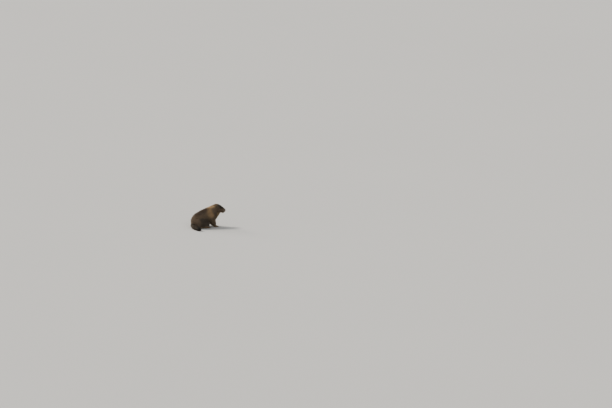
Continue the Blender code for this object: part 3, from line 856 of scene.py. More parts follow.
@dataclass(frozen=True)
class MarkingsAndPaintedLight:
    """The group that gives the coat's colour at a place, for skin and coat alike, painted light and
    shade included.
    """

    places: BodyFrame
    wander: float = 9 * MM
    wander_scale: float = 38.0
    mottle: float = 0.2
    mottle_scale: float = 95.0
    patch_edge: tuple[float, float] = (0.55, 1.25)

    def build(self) -> bpy.types.NodeTree:
        """Make the group: its input is a place, its output a colour.

        Returns:
            The group.
        """
        graph, start, end = new_group("markings", {"Place": "Vector"}, {"Color": "Color"})
        place = start.outputs["Place"]
        drift = graph.noise(place, self.wander_scale, 3.0, 0.6).outputs["Color"]
        drift = graph.vector("SUBTRACT", drift, (0.5, 0.5, 0.5)).outputs[0]
        moved = graph.vector("SCALE", drift)
        moved.inputs["Scale"].default_value = self.wander * 2
        place = graph.vector("ADD", place, moved.outputs[0]).outputs[0]
        spots = {
            False: self.folded(graph, place, self.places.body),
            True: self.folded(graph, place, self.places.head),
        }
        colour: object = GROUND
        for mark in MARKS_AND_PAINTED_LIGHT:
            colour = self.painted(graph, spots, colour, mark)
        patchy = graph.noise(start.outputs["Place"], self.mottle_scale, 4.0, 0.65).outputs["Fac"]
        dapple = graph.span(patchy, 0.3, 0.7, 1 - self.mottle, 1 + self.mottle)
        value = graph.node("HueSaturation")
        graph.feed(value.inputs["Value"], dapple)
        graph.feed(value.inputs["Color"], colour)
        graph.tree.links.new(value.outputs["Color"], end.inputs["Color"])
        return graph.tree

    def folded(
        self, graph: Graph, place: bpy.types.NodeSocket, matrix: Matrix
    ) -> tuple[bpy.types.NodeSocket, bpy.types.NodeSocket]:
        """The place in a frame of the animal, and the same with its y made positive.

        Args:
            graph: The group's graph.
            place: The place in the scene.
            matrix: The frame, as a matrix to the scene.

        Returns:
            Both places.
        """
        back = matrix.inverted()
        turned = graph.node("Mapping", vector_type="POINT")
        graph.feed(turned.inputs["Vector"], place)
        turned.inputs["Location"].default_value = back.to_translation()
        turned.inputs["Rotation"].default_value = back.to_euler()
        own = turned.outputs["Vector"]
        parts = graph.node("SeparateXYZ")
        graph.feed(parts.inputs[0], own)
        joined = graph.node("CombineXYZ")
        graph.feed(joined.inputs[0], parts.outputs[0])
        graph.feed(joined.inputs[1], graph.math("ABSOLUTE", parts.outputs[1]))
        graph.feed(joined.inputs[2], parts.outputs[2])
        return own, joined.outputs[0]

    def painted(
        self, graph: Graph, spots: dict[bool, tuple], colour: object, mark: Mark
    ) -> bpy.types.NodeSocket:
        """Lay one soft patch over the colour so far.

        Args:
            graph: The group's graph.
            spots: The places on the body and on the head.
            colour: The colour so far.
            mark: The patch.

        Returns:
            The colour with the patch.
        """
        own, folded = spots[mark.on_head]
        place = folded if mark.place[1] >= 0 else own
        away = graph.vector("SUBTRACT", place, tuple(Vector(mark.place) * CM)).outputs[0]
        scaled = graph.vector("DIVIDE", away, tuple(Vector(mark.radii) * CM)).outputs[0]
        length = graph.node("VectorMath", operation="LENGTH")
        graph.feed(length.inputs[0], scaled)
        share = graph.span(length.outputs["Value"], *self.patch_edge, mark.strength, 0.0)
        return graph.mix(share, colour, mark.colour)


@dataclass(frozen=True)
class SkinFinish:
    """The dark, soft skin that shows between the hairs."""

    markings: bpy.types.NodeTree
    roughness: float = 0.85
    specular: float = 0.2
    strand_scale: float = 900.0
    strand_edge: tuple[float, float] = (0.35, 0.7)
    values: tuple[float, float] = (0.42, 0.8)
    relief: float = 1.2 * MM
    relief_share: float = 0.7

    def build(self) -> bpy.types.Material:
        """Make the material, which follows the coat's own pattern and its painted light and shade.

        Returns:
            The material.
        """
        made, graph, shader = new_material(
            "skin_under_coat", Roughness=self.roughness, Specular_IOR_Level=self.specular
        )
        place = graph.node("TexCoord").outputs["Object"]
        colour = graph.group(self.markings, Place=place).outputs["Color"]
        strands = graph.noise(place, self.strand_scale, 3.0, 0.6).outputs["Fac"]
        dark = graph.span(strands, *self.strand_edge, *self.values)
        shaded = graph.node("HueSaturation")
        graph.feed(shaded.inputs["Value"], dark)
        graph.feed(shaded.inputs["Color"], colour)
        graph.feed(shader.inputs["Base Color"], shaded.outputs["Color"])
        graph.feed(shader.inputs["Normal"], graph.bump(strands, self.relief_share, self.relief))
        return made


@dataclass(frozen=True)
class FurFinish:
    """Banded hair: dark at the root, bright in the middle, pale or black at the tip."""

    markings: bpy.types.NodeTree
    roughness: float = 0.62
    specular: float = 0.28
    sheen: float = 0.25
    sheen_roughness: float = 0.5
    sheen_tint: tuple[float, float, float, float] = (0.9, 0.82, 0.7, 1.0)
    root_value: float = 0.42
    band_value: float = 1.22
    band_edge: tuple[float, float] = (0.05, 0.5)
    pale_tip: float = 1.75
    dark_tip: float = 0.42
    tip_kinds: tuple[float, float] = (0.35, 0.75)
    tip_edge: tuple[float, float] = (0.55, 0.95)
    tuft_values: tuple[float, float] = (0.82, 1.2)
    tuft_mix: float = 7.3
    warmth: float = 0.35
    warm: tuple[float, float, float] = (0.95, 0.72, 0.5)

    def build(self) -> bpy.types.Material:
        """Make the material, which reads each tuft's root, length and shade.

        Returns:
            The material.
        """
        made, graph, shader = new_material(
            "marmot_fur",
            Roughness=self.roughness,
            Specular_IOR_Level=self.specular,
            Sheen_Weight=self.sheen,
            Sheen_Roughness=self.sheen_roughness,
        )
        shader.inputs["Sheen Tint"].default_value = self.sheen_tint
        root = graph.node("Attribute", attribute_name="root").outputs["Vector"]
        along = graph.node("Attribute", attribute_name="along").outputs["Fac"]
        shade = graph.node("Attribute", attribute_name="shade").outputs["Fac"]
        colour = graph.group(self.markings, Place=root).outputs["Color"]
        rising = graph.span(along, *self.band_edge, self.root_value, self.band_value)
        tip = graph.span(shade, *self.tip_kinds, self.dark_tip, self.pale_tip)
        share = graph.span(along, *self.tip_edge, 0.0, 1.0)
        change = graph.math("SUBTRACT", tip, rising)
        value = graph.math("ADD", rising, graph.math("MULTIPLY", share, change))
        own = graph.math("FRACT", graph.math("MULTIPLY", shade, self.tuft_mix))
        own = graph.span(own, 0.0, 1.0, *self.tuft_values)
        shaded = graph.node("HueSaturation")
        graph.feed(shaded.inputs["Value"], graph.math("MULTIPLY", value, own))
        graph.feed(shaded.inputs["Color"], colour)
        warmed = graph.math("MULTIPLY", graph.math("SUBTRACT", 1.0, share), self.warmth)
        tinted = graph.mix(warmed, shaded.outputs["Color"], self.warm, "MULTIPLY")
        graph.feed(shader.inputs["Base Color"], tinted)
        return made


# Skin


@dataclass
class Skin:
    """One closed skin over the whole animal, inside the part's solids by the coat's depth."""

    places: BodyFrame
    lie: Lie
    voxel: float = 1.25 * MM
    faces: int = 76000
    merge: float = 0.01 * MM
    grown_mm: float = 0.4
    tail_core: float = 0.42
    tail_taper: float = 0.75
    tail_across: tuple[float, float, float] = (0.95, 0.3, 0.0)
    tail_sides: int = 20
    sink_share: float = 0.92
    lie_rounds: int = 6
    depth_rounds: int = 8
    tail_rounds: int = 2
    outward_rounds: int = 10
    normal_rounds: int = 4
    above_floor: float = 0.4 * MM
    ray: float = 0.2
    ear_face: tuple[float, float, float] = (0.62, 0.76, 0.12)
    ear_reach: float = 8.0 * MM
    ear_around: float = 14 * MM
    ear_depth: float = 2.0 * MM
    ear_opening: float = 1.6
    unwrap_angle: float = math.radians(66)
    unwrap_margin: float = 0.002
    piece: bpy.types.Object = field(init=False)
    points: np.ndarray = field(init=False)
    normals: np.ndarray = field(init=False)
    zones: np.ndarray = field(init=False)
    lies: np.ndarray = field(init=False)
    hair: np.ndarray = field(init=False)
    lift: np.ndarray = field(init=False)
    cup: np.ndarray = field(init=False)
    tree: BVHTree = field(init=False)

    def build(self) -> None:
        """Fuse the part's flesh to one skin and sink it by the coat's depth."""
        voxel = self.voxel * 1
        form, labels = self.flesh()
        tree = BVHTree.FromBMesh(form)
        mesh = bpy.data.meshes.new("skin")
        form.to_mesh(mesh)
        form.free()
        self.piece = add_object("skin", mesh)
        shell = self.piece.modifiers.new("shell", "REMESH")
        shell.mode = "VOXEL"
        shell.voxel_size = voxel
        soft = self.piece.modifiers.new("soft", "SMOOTH")
        soft.factor = 0.5
        soft.iterations = 3
        settle(self.piece)
        count = len(self.piece.data.polygons)
        if count > self.faces:
            fewer = self.piece.modifiers.new("fewer", "DECIMATE")
            fewer.ratio = self.faces / count
            settle(self.piece)
        self.keep_largest()
        self.measure(tree, labels)
        self.sink()

    def flesh(self) -> tuple[bmesh.types.BMesh, np.ndarray]:
        """All flesh nodes, grown over the gaps between them, and each face's zone.

        Returns:
            The joined flesh, and each face's zone.
        """
        form = bmesh.new()
        labels: list[int] = []
        for name, zone in NODE_ZONES.items():
            if zone is Zone.TAIL:
                self.tail(form)
            else:
                copy = bmesh.new()
                copy.from_mesh(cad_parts[name].data)
                bmesh.ops.remove_doubles(copy, verts=copy.verts, dist=self.merge)
                copy.normal_update()
                for vert in copy.verts:
                    vert.co += vert.normal * self.grown_mm * MM
                scratch = bpy.data.meshes.new("grown")
                copy.to_mesh(scratch)
                copy.free()
                form.from_mesh(scratch)
                bpy.data.meshes.remove(scratch)
            labels += [ZONE_LIST.index(zone)] * (len(form.faces) - len(labels))
        return form, np.array(labels)

    def tail(self, form: bmesh.types.BMesh) -> None:
        """The tail without its hair.

        Args:
            form: The bmesh that takes the tail.
        """
        rows = np.array([[*p, w, h] for p, w, h in TAIL_PATH], float)[:-2]
        rows = curve_rows(rows, 3)
        points = [self.places.on_body(tuple(row[:3])) for row in rows]
        taper = np.linspace(1.0, self.tail_taper, len(rows))
        radii = [
            (row[3] * CM * self.tail_core * share, row[4] * CM * self.tail_core * share)
            for row, share in zip(rows, taper)
        ]
        sweep(form, points, radii, Vector(self.tail_across), sides=self.tail_sides)
        bmesh.ops.recalc_face_normals(form, faces=form.faces)

    def keep_largest(self) -> None:
        """Drop all but the largest closed surface."""
        form = bmesh.new()
        form.from_mesh(self.piece.data)
        left = set(form.verts)
        best: set[bmesh.types.BMVert] = set()
        while left:
            start = left.pop()
            island, edge = {start}, [start]
            while edge:
                for link in edge.pop().link_edges:
                    for vert in link.verts:
                        if vert not in island:
                            island.add(vert)
                            edge.append(vert)
            left -= island
            if len(island) > len(best):
                best = island
        scraps = [vert for vert in form.verts if vert not in best]
        bmesh.ops.delete(form, geom=scraps, context="VERTS")
        form.to_mesh(self.piece.data)
        form.free()

    def measure(self, tree: BVHTree, labels: np.ndarray) -> None:
        """Find each vertex's zone and how the coat lies there.

        Args:
            tree: A search tree over the flesh.
            labels: The zone of each of the flesh's faces.
        """
        mesh = self.piece.data
        self.points = np.empty((len(mesh.vertices), 3))
        mesh.vertices.foreach_get("co", self.points.ravel())
        faces = [tree.find_nearest(Vector(p))[2] for p in self.points]
        self.zones = labels[np.array(faces)]
        self.lies, self.hair, self.lift = self.lie.at(self.points, self.zones)

    def smoothed(self, values: np.ndarray, rounds: int) -> np.ndarray:
        """Even out a value over the skin by averaging along its edges.

        Args:
            values: A number or a row for each vertex.
            rounds: How often they are averaged.

        Returns:
            The evened values.
        """
        mesh = self.piece.data
        edges = np.empty(len(mesh.edges) * 2, int)
        mesh.edges.foreach_get("vertices", edges)
        one, two = edges.reshape(-1, 2).T
        count = np.bincount(edges, minlength=len(values)).astype(float)
        flat = values.reshape(len(values), -1).copy()
        for _ in range(rounds):
            for k in range(flat.shape[1]):
                total = np.bincount(one, flat[two, k], len(flat))
                total = total + np.bincount(two, flat[one, k], len(flat))
                flat[:, k] = 0.5 * flat[:, k] + 0.5 * total / np.maximum(count, 1)
        return flat.reshape(values.shape)

    def read_normals(self) -> np.ndarray:
        """The mesh's vertex normals as an array.

        Returns:
            The normals, one a row.
        """
        normals = np.empty((len(self.points), 3))
        self.piece.data.vertices.foreach_get("normal", normals.ravel())
        return normals

    def sink(self) -> None:
        """Move the skin inwards by the depth of its coat."""
        self.hair = self.smoothed(self.hair, self.lie_rounds)
        self.lies = self.smoothed(self.lies, self.lie_rounds)
        depth = self.smoothed(self.sink_share * self.hair * np.sin(self.lift), self.depth_rounds)
        depth[zoned(self.zones, Zone.TAIL)] = 0.0
        depth = self.smoothed(depth, self.tail_rounds)
        outward = unit_rows(self.smoothed(self.read_normals(), self.outward_rounds))
        self.points = self.points - outward * depth[:, None]
        self.points += self.hollow_ears()
        self.points[:, 2] = np.maximum(self.points[:, 2], self.above_floor)
        self.piece.data.vertices.foreach_set("co", self.points.ravel())
        self.piece.data.update()
        self.piece.data.shade_smooth()
        self.normals = unit_rows(self.smoothed(self.read_normals(), self.normal_rounds))
        form = bmesh.new()
        form.from_mesh(self.piece.data)
        self.tree = BVHTree.FromBMesh(form)
        form.free()

    def outer(self, aim: Vector, way: Vector) -> Vector:
        """Where a line that comes in along the way meets the skin."""
        hit = self.tree.ray_cast(aim + way * self.ray, -way)[0]
        return hit if hit is not None else aim

    def hollow_ears(self) -> np.ndarray:
        """Find the cups of the ears and how far each point moves to deepen them.

        Returns:
            The moves, one a row.
        """
        moves = np.zeros_like(self.points)
        self.cup = np.zeros(len(self.points))
        facing = self.read_normals()
        x, y, z = self.ear_face
        for word, side in SIDES.items():
            low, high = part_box(f"ear_{word}")
            middle = np.array((low + high) / 2)
            face = np.array(self.places.head_way((x, y * side, z)))
            away = self.points - middle
            flat = away - np.outer(away @ face, face)
            inside = np.clip(1 - (np.linalg.norm(flat, axis=1) / self.ear_reach) ** 2, 0, 1)
            open_side = np.clip(facing @ face * self.ear_opening, 0, 1)
            near = np.linalg.norm(away, axis=1) < self.ear_around
            share = inside * open_side * near
            moves -= np.outer(self.ear_depth * share, face)
            self.cup = np.maximum(self.cup, share)
        return moves

    def unwrap(self) -> None:
        """Lay the skin out flat, so that the coat can find its roots on it."""
        bpy.ops.object.select_all(action="DESELECT")
        bpy.context.view_layer.objects.active = self.piece
        self.piece.select_set(True)
        self.piece.data.uv_layers.new(name="OFBake")
        bpy.ops.object.mode_set(mode="EDIT")
        bpy.ops.mesh.select_all(action="SELECT")
        bpy.ops.uv.smart_project(angle_limit=self.unwrap_angle, island_margin=self.unwrap_margin)
        bpy.ops.object.mode_set(mode="OBJECT")

    def dress(self, finish: SkinFinish) -> None:
        """Unwrap the skin, give it its finish and let it stand for the flesh.

        Args:
            finish: The skin's finish.
        """
        self.unwrap()
        finish_piece(self.piece, finish.build(), "torso_coat", *NODE_ZONES)
        log.info("skin: %d faces", len(self.piece.data.polygons))


# Coat

# The record's slot for each region of the coat
COAT_SLOTS = {
    "face": "head_coat",
    "cheek": "head_coat",
    "neck": "neck_coat",
    "shoulder": "torso_coat",
    "rump": "torso_coat",
    "foreleg": "leg_coat",
    "hindleg": "leg_coat",
    "forefoot": "foot_coat",
    "hindfoot": "foot_coat",
    "tail": "tail_coat",
}


@dataclass(frozen=True)
class Bald:
    """A ball that no hair grows in."""

    centre: Vector
    radius: float


@dataclass(frozen=True)
class Blade:
    """The form of one tuft: three-sided rings along it, and a point at its end.

    The rings name stops of the grown path, and each has its share of the full width.
    """

    rings: tuple[int, ...]
    fullness: tuple[float, ...]
    height: float = 0.7

    def outline(self, path: np.ndarray, width: np.ndarray, up: np.ndarray) -> np.ndarray:
        """The corners of many blades along their paths.

        Args:
            path: The stops of each blade's path.
            width: Each blade's full half width.
            up: The way out of the skin at each root.

        Returns:
            The corners, a row of them for each blade.
        """
        stops = (*self.rings, path.shape[1] - 1)
        verts = np.empty((len(path), len(self.rings) * 3 + 1, 3))
        for i, (ring, full) in enumerate(zip(self.rings, self.fullness)):
            way = unit_rows(path[:, stops[i + 1]] - path[:, stops[max(i - 1, 0)]])
            side = unit_rows(np.cross(way, up))
            rise = np.cross(side, way)
            half = (width * full)[:, None]
            verts[:, i * 3] = path[:, ring] + side * half
            verts[:, i * 3 + 1] = path[:, ring] + rise * half * self.height
            verts[:, i * 3 + 2] = path[:, ring] - side * half
        verts[:, -1] = path[:, -1]
        return verts

    def faces(self) -> np.ndarray:
        """The triangles of one closed blade, which face outwards.

        Returns:
            Three corners a row.
        """
        found = [(0, 1, 2)]
        last = len(self.rings) * 3 - 3
        for start in range(0, last, 3):
            for k in range(3):
                a, b = start + k, start + (k + 1) % 3
                found += [(b, a, b + 3), (b + 3, a, a + 3)]
        found += [(last + (k + 1) % 3, last + k, last + 3) for k in range(3)]
        return np.array(found)


SHORT_BLADE = Blade((0, 2), (0.8, 0.85))
LONG_BLADE = Blade((0, 1, 3), (0.75, 1.0, 0.6))


@dataclass(frozen=True)
class Roots:
    """What the tufts start from: a row or a number for each."""

    place: np.ndarray
    normal: np.ndarray
    lie: np.ndarray
    uv: np.ndarray
    hair: np.ndarray
    lift: np.ndarray
    zone: np.ndarray

    def kept(self, keep: np.ndarray) -> "Roots":
        """The roots that a mask keeps."""
        return Roots(**{name: values[keep] for name, values in vars(self).items()})


@dataclass(frozen=True)
class Tufts:
    """The grown tufts: the stops of their paths, half widths, upward ways and shades."""

    path: np.ndarray
    width: np.ndarray
    up: np.ndarray
    shade: np.ndarray


@dataclass(frozen=True)
class Spread:
    """Random factors around one, kept within limits."""

    spread: float
    least: float
    most: float

    def factors(self, draw: np.random.Generator, count: int) -> np.ndarray:
        """One factor for each of a count of things."""
        return draw.normal(1.0, self.spread, count).clip(self.least, self.most)


@dataclass
class Coat:
    """Tufts over the skin that follow the lie of the coat.

    A tuft's path runs over its stops, which are shares of its length. Neighbouring tufts
    are drawn together into locks, more so towards their tips.
    """

    skin: Skin
    bald: list[Bald]
    tufts: int = 121000
    quick_part: int = 6
    crowding: float = 0.6
    tail_crowding: float = 2.7
    clear_of_floor: float = 1.4 * MM
    stops: tuple[float, ...] = (0.0, 0.36, 0.55, 0.74, 1.0)
    long_from: float = 14 * MM
    sunk: float = 0.6 * MM
    above_floor: float = 0.35 * MM
    stiffness: float = 0.75
    arch: float = 1.7
    hair_spread: Spread = Spread(0.13, 0.6, 1.45)
    lift_spread: Spread = Spread(0.22, 0.3, 1.8)
    width_spread: Spread = Spread(0.2, 0.55, 1.6)
    guard_share: float = 0.07
    guard_length: float = 1.16
    stray: float = 0.1
    swirl: float = 0.3
    swirl_scales: tuple[float, ...] = (55.0, 110.0, 230.0)
    swirl_phase: float = 6.28
    base_width: float = 0.12 * MM
    width_growth: float = 0.0105
    width_limits: tuple[float, float] = (0.145 * MM, 0.45 * MM)
    lock_tufts: int = 9
    lock_reach: float = 4 * MM
    lock_pull: tuple[float, float] = (0.25, 0.75)
    lock_most: float = 0.85
    lock_bend: float = 1.5
    cup_thin: float = 0.8
    cup_short: float = 0.6
    cup_edge: float = 2.0
    face_from: float = 5.2 * CM
    shoulder_from: float = -4.0
    patch: float = 0.003
    pieces: list[bpy.types.Object] = field(default_factory=list)

    def build(self) -> None:
        """Draw the roots, grow a tuft on each and join them into pieces."""
        draw = np.random.default_rng(SEED)
        roots = self.draw_roots(draw)
        tufts = self.grow(roots, draw)
        for name, mask in self.regions(roots).items():
            self.pieces.append(self.piece_of(name, roots, tufts, np.flatnonzero(mask)))

    def draw_roots(self, draw: np.random.Generator) -> Roots:
        """Spread roots over the skin, denser where the hair is short and fine.

        Args:
            draw: The seeded random numbers.

        Returns:
            The roots that are kept.
        """
        skin, mesh = self.skin, self.skin.piece.data
        mesh.calc_loop_triangles()
        corners = np.empty((len(mesh.loop_triangles), 3), int)
        loops = np.empty((len(mesh.loop_triangles), 3), int)
        mesh.loop_triangles.foreach_get("vertices", corners.ravel())
        mesh.loop_triangles.foreach_get("loops", loops.ravel())
        uv = np.empty((len(mesh.loops), 2))
        mesh.uv_layers["OFBake"].data.foreach_get("uv", uv.ravel())
        a, b, c = (skin.points[corners[:, k]] for k in range(3))
        area = np.linalg.norm(np.cross(b - a, c - a), axis=1) / 2
        hair = skin.hair[corners].mean(1)
        want = area * (hair * self.width_of(hair)) ** -self.crowding
        tail = zoned(skin.zones[corners[:, 0]], Zone.TAIL)
        want = np.where(tail, want * self.tail_crowding, want)
        cup = np.clip(skin.cup[corners].mean(1) * self.cup_edge, 0, 1)
        want *= 1 - self.cup_thin * cup
        want[skin.points[corners][:, :, 2].mean(1) < self.clear_of_floor] = 0
        share = want / want.sum()
        count = self.tufts
        pick = np.searchsorted(np.cumsum(share), (np.arange(count) + draw.random(count)) / count)
        pick = np.minimum(pick, len(corners) - 1)
        u, v = draw.random(count), draw.random(count)
        u, v = np.where(u + v > 1, 1 - u, u), np.where(u + v > 1, 1 - v, v)
        shares = np.stack((1 - u - v, u, v), 1)
        at = corners[pick]
        found = Roots(
            place=self.between(shares, skin.points[at]),
            normal=self.between(shares, skin.normals[at]),
            lie=self.between(shares, skin.lies[at]),
            uv=self.between(shares, uv[loops[pick]]),
            hair=(shares * (skin.hair * (1 - self.cup_short * skin.cup))[at]).sum(1),
            lift=(shares * skin.lift[at]).sum(1),
            zone=skin.zones[at[:, 0]],
        )
        keep = np.ones(count, bool)
        for spot in self.bald:
            keep &= np.linalg.norm(found.place - np.array(spot.centre), axis=1) > spot.radius
        return found.kept(keep)

    @staticmethod
    def between(shares: np.ndarray, corners: np.ndarray) -> np.ndarray:
        """Blend the rows at each triangle's corners by its shares."""
        return np.einsum("ij,ijk->ik", shares, corners)

    def width_of(self, hair: np.ndarray) -> np.ndarray:
        """A tuft's half width for its length: fine on the face, broader on the body."""
        return np.clip(self.base_width + hair * self.width_growth, *self.width_limits)

    def grow(self, roots: Roots, draw: np.random.Generator) -> Tufts:
        """Lead each tuft over the skin from its root to its tip.

        Args:
            roots: What the tufts start from.
            draw: The seeded random numbers.

        Returns:
            The tufts.
        """
        skin, place, count = self.skin, roots.place, len(roots.place)
        normal = roots.normal / np.linalg.norm(roots.normal, axis=1, keepdims=True)
        drift = self.waves(place, draw)
        lie = roots.lie + drift * self.swirl + draw.normal(0, self.stray, (count, 3))
        hair = roots.hair * self.hair_spread.factors(draw, count)
        guard = draw.random(count) < self.guard_share
        hair = np.where(guard, hair * self.guard_length, hair)
        tail = zoned(roots.zone, Zone.TAIL)
        hair = np.where(tail, np.minimum(hair, skin.lie.left_of_tail(place)), hair)
        free = (tail & (skin.lie.tail_part(place)[0] > TAIL_TURN[1]))[:, None]
        lift = roots.lift * self.lift_spread.factors(draw, count)
        tree = search_tree(skin.points, range(len(skin.points)))
        points = [place - normal * self.sunk]
        at, way = place, self.flat(lie, normal)
        for before, share in zip(self.stops, self.stops[1:]):
            step = (share - before) * hair
            at = at + way * (step * np.cos(lift))[:, None]
            near = nearest_rows(tree, at)
            up = np.where(free, normal, skin.normals[near])
            sunk = at - up * np.einsum("ij,ij->i", at - skin.points[near], up)[:, None]
            at = np.where(free, at, sunk)
            turned = way * self.stiffness + skin.lies[near] * (1 - self.stiffness)
            way = np.where(free, turned, self.flat(turned, up))
            height = hair * np.sin(lift) * (1 - (1 - share) ** self.arch)
            points.append(at + up * height[:, None])
        path = self.clumped(np.stack(points, 1), draw)
        path[:, 1:, 2] = np.maximum(path[:, 1:, 2], self.above_floor)
        width = self.width_of(hair) * self.width_spread.factors(draw, count)
        return Tufts(path, width, normal, draw.random(count))

    @staticmethod
    def flat(way: np.ndarray, normal: np.ndarray) -> np.ndarray:
        """The part of a way that lies along the surface, at length one."""
        return unit_rows(way - normal * np.einsum("ij,ij->i", way, normal)[:, None])

    def waves(self, place: np.ndarray, draw: np.random.Generator) -> np.ndarray:
        """A slow, random swirl over the coat, so that it doesn't lie like a comb's work.

        Args:
            place: Where the roots are.
            draw: The seeded random numbers.

        Returns:
            The swirl at each root.
        """
        total = np.zeros_like(place)
        for scale in self.swirl_scales:
            for axis in range(3):
                way = draw.normal(0, scale, 3)
                wave = np.sin(place @ way + draw.uniform(0, self.swirl_phase))
                total[:, axis] += wave / len(self.swirl_scales)
        return total

    def clumped(self, path: np.ndarray, draw: np.random.Generator) -> np.ndarray:
        """Draw the tips of neighbouring tufts together into locks.

        Args:
            path: The stops of each tuft's path.
            draw: The seeded random numbers.

        Returns:
            The paths in their locks.
        """
        count = len(path)
        chosen = draw.choice(count, max(1, count // self.lock_tufts), replace=False)
        leader = nearest_rows(search_tree(path[:, 1], chosen), path[:, 1])
        apart = np.linalg.norm(path[leader, 1] - path[:, 1], axis=1)
        pull = np.exp(-((apart / self.lock_reach) ** 2)) * draw.uniform(*self.lock_pull, count)
        for stop, share in enumerate(self.stops):
            offset = path[leader, stop] - path[:, stop]
            path[:, stop] += offset * (pull * self.lock_most * share**self.lock_bend)[:, None]
        return path

    def regions(self, roots: Roots) -> dict[str, np.ndarray]:
        """Which roots belong to each piece of the coat.

        Args:
            roots: What the tufts start from.

        Returns:
            A mask for each piece.
        """
        places = self.skin.places
        x, y, _ = (roots.place - np.array(places.body.to_translation())).T / CM
        inverse = np.array(places.head.inverted())
        local = roots.place @ inverse[:3, :3].T + inverse[:3, 3]
        head = zoned(roots.zone, Zone.HEAD, Zone.EAR)
        torso = zoned(roots.zone, Zone.TORSO)
        front, shoulder = local[:, 0] > self.face_from, x > self.shoulder_from
        found: dict[str, np.ndarray] = {}
        for word, side in SIDES.items():
            flank, near = local[:, 1] * side > 0, y * side > 0
            found[f"coat_face_{word}"] = head & flank & front
            found[f"coat_cheek_{word}"] = head & flank & ~front
            for zone in (Zone.NECK, Zone.FORELEG, Zone.HIND_LEG, Zone.FORE_FOOT, Zone.HIND_FOOT):
                name = f"coat_{zone.value.replace('_', '')}_{word}"
                found[name] = zoned(roots.zone, zone) & near
            found[f"coat_shoulder_{word}"] = torso & near & shoulder
            found[f"coat_rump_{word}"] = torso & near & ~shoulder
        found["coat_tail"] = zoned(roots.zone, Zone.TAIL)
        return found

    def piece_of(
        self, name: str, roots: Roots, tufts: Tufts, index: np.ndarray
    ) -> bpy.types.Object:
        """Join the chosen tufts to one mesh of closed blades.

        Args:
            name: The piece's name.
            roots: What the tufts start from.
            tufts: The grown tufts.
            index: Which tufts the piece takes.

        Returns:
            The piece.
        """
        verts, corners, along, places, owner = [], [], [], [], []
        count = 0
        long = roots.hair[index] > self.long_from
        for blade, chosen in ((SHORT_BLADE, index[~long]), (LONG_BLADE, index[long])):
            outline = blade.outline(tufts.path[chosen], tufts.width[chosen], tufts.up[chosen])
            per = outline.shape[1]
            starts = count + np.arange(len(chosen)) * per
            stops = np.append(np.repeat([self.stops[ring] for ring in blade.rings], 3), 1.0)
            around = np.append(np.tile((0.0, 0.5, 1.0), len(blade.rings)), 0.5)
            patch = (np.stack((around, stops), 1) - 0.5) * self.patch
            verts.append(outline.reshape(-1, 3))
            corners.append((blade.faces()[None] + starts[:, None, None]).reshape(-1, 3))
            along.append(np.tile(stops, len(chosen)))
            places.append((roots.uv[chosen][:, None] + patch[None]).reshape(-1, 2))
            owner.append(np.repeat(chosen, per))
            count += len(chosen) * per
        points, faces, owners = (np.concatenate(part) for part in (verts, corners, owner))
        mesh = bpy.data.meshes.new(name)
        mesh.vertices.add(len(points))
        mesh.vertices.foreach_set("co", points.ravel())
        mesh.loops.add(faces.size)
        mesh.loops.foreach_set("vertex_index", faces.ravel())
        mesh.polygons.add(len(faces))
        mesh.polygons.foreach_set("loop_start", np.arange(0, faces.size, 3))
        mesh.update(calc_edges=True)
        mesh.shade_smooth()
        self.attribute(mesh, "root", roots.place[owners], "FLOAT_VECTOR")
        self.attribute(mesh, "along", np.concatenate(along), "FLOAT")
        self.attribute(mesh, "shade", tufts.shade[owners], "FLOAT")
        layer = mesh.uv_layers.new(name="OFBake")
        layer.data.foreach_set("uv", np.concatenate(places)[faces.ravel()].ravel())
        return add_object(name, mesh)

    @staticmethod
    def attribute(mesh: bpy.types.Mesh, name: str, values: np.ndarray, kind: str) -> None:
        """Store a value for every vertex."""
        made = mesh.attributes.new(name, kind, "POINT")
        made.data.foreach_set("vector" if kind == "FLOAT_VECTOR" else "value", values.ravel())

    def dress(self, finish: FurFinish) -> None:
        """Give every piece of the coat the same fur.

        Args:
            finish: The fur's finish.
        """
        fur = finish.build()
        for piece in self.pieces:
            finish_piece(piece, fur, COAT_SLOTS[piece.name.split("_")[1]])
            log.info("%s: %d faces", piece.name, len(piece.data.polygons))


# Face


@dataclass(frozen=True)
class EyeFinish:
    """A wet, dark brown eye with a black pupil."""

    pupil: tuple[float, float, float] = (0.002, 0.002, 0.002)
    iris: tuple[float, float, float] = (0.02, 0.01, 0.005)
    rim: tuple[float, float, float] = (0.006, 0.004, 0.003)
    pupil_edge: tuple[float, float] = (0.4, 0.46)
    iris_edge: tuple[float, float] = (0.72, 0.85)
    ray_scale: float = 1500.0
    ray_value: float = 0.5
    roughness: float = 0.04
    ior: float = 1.3

    def build(self) -> bpy.types.Material:
        """Make the material, which reads how far a point is off the eye's axis.

        Returns:
            The material.
        """
        made, graph, shader = new_material("eye", Roughness=self.roughness, IOR=self.ior)
        off = graph.node("Attribute", attribute_name="off_axis").outputs["Fac"]
        place = graph.node("TexCoord").outputs["Object"]
        rays = graph.noise(place, self.ray_scale).outputs["Fac"]
        iris = graph.mix(rays, self.iris, tuple(c * self.ray_value for c in self.iris))
        inner = graph.mix(graph.span(off, *self.pupil_edge, 0.0, 1.0), self.pupil, iris)
        outer = graph.mix(graph.span(off, *self.iris_edge, 0.0, 1.0), inner, self.rim)
        graph.feed(shader.inputs["Base Color"], outer)
        return made


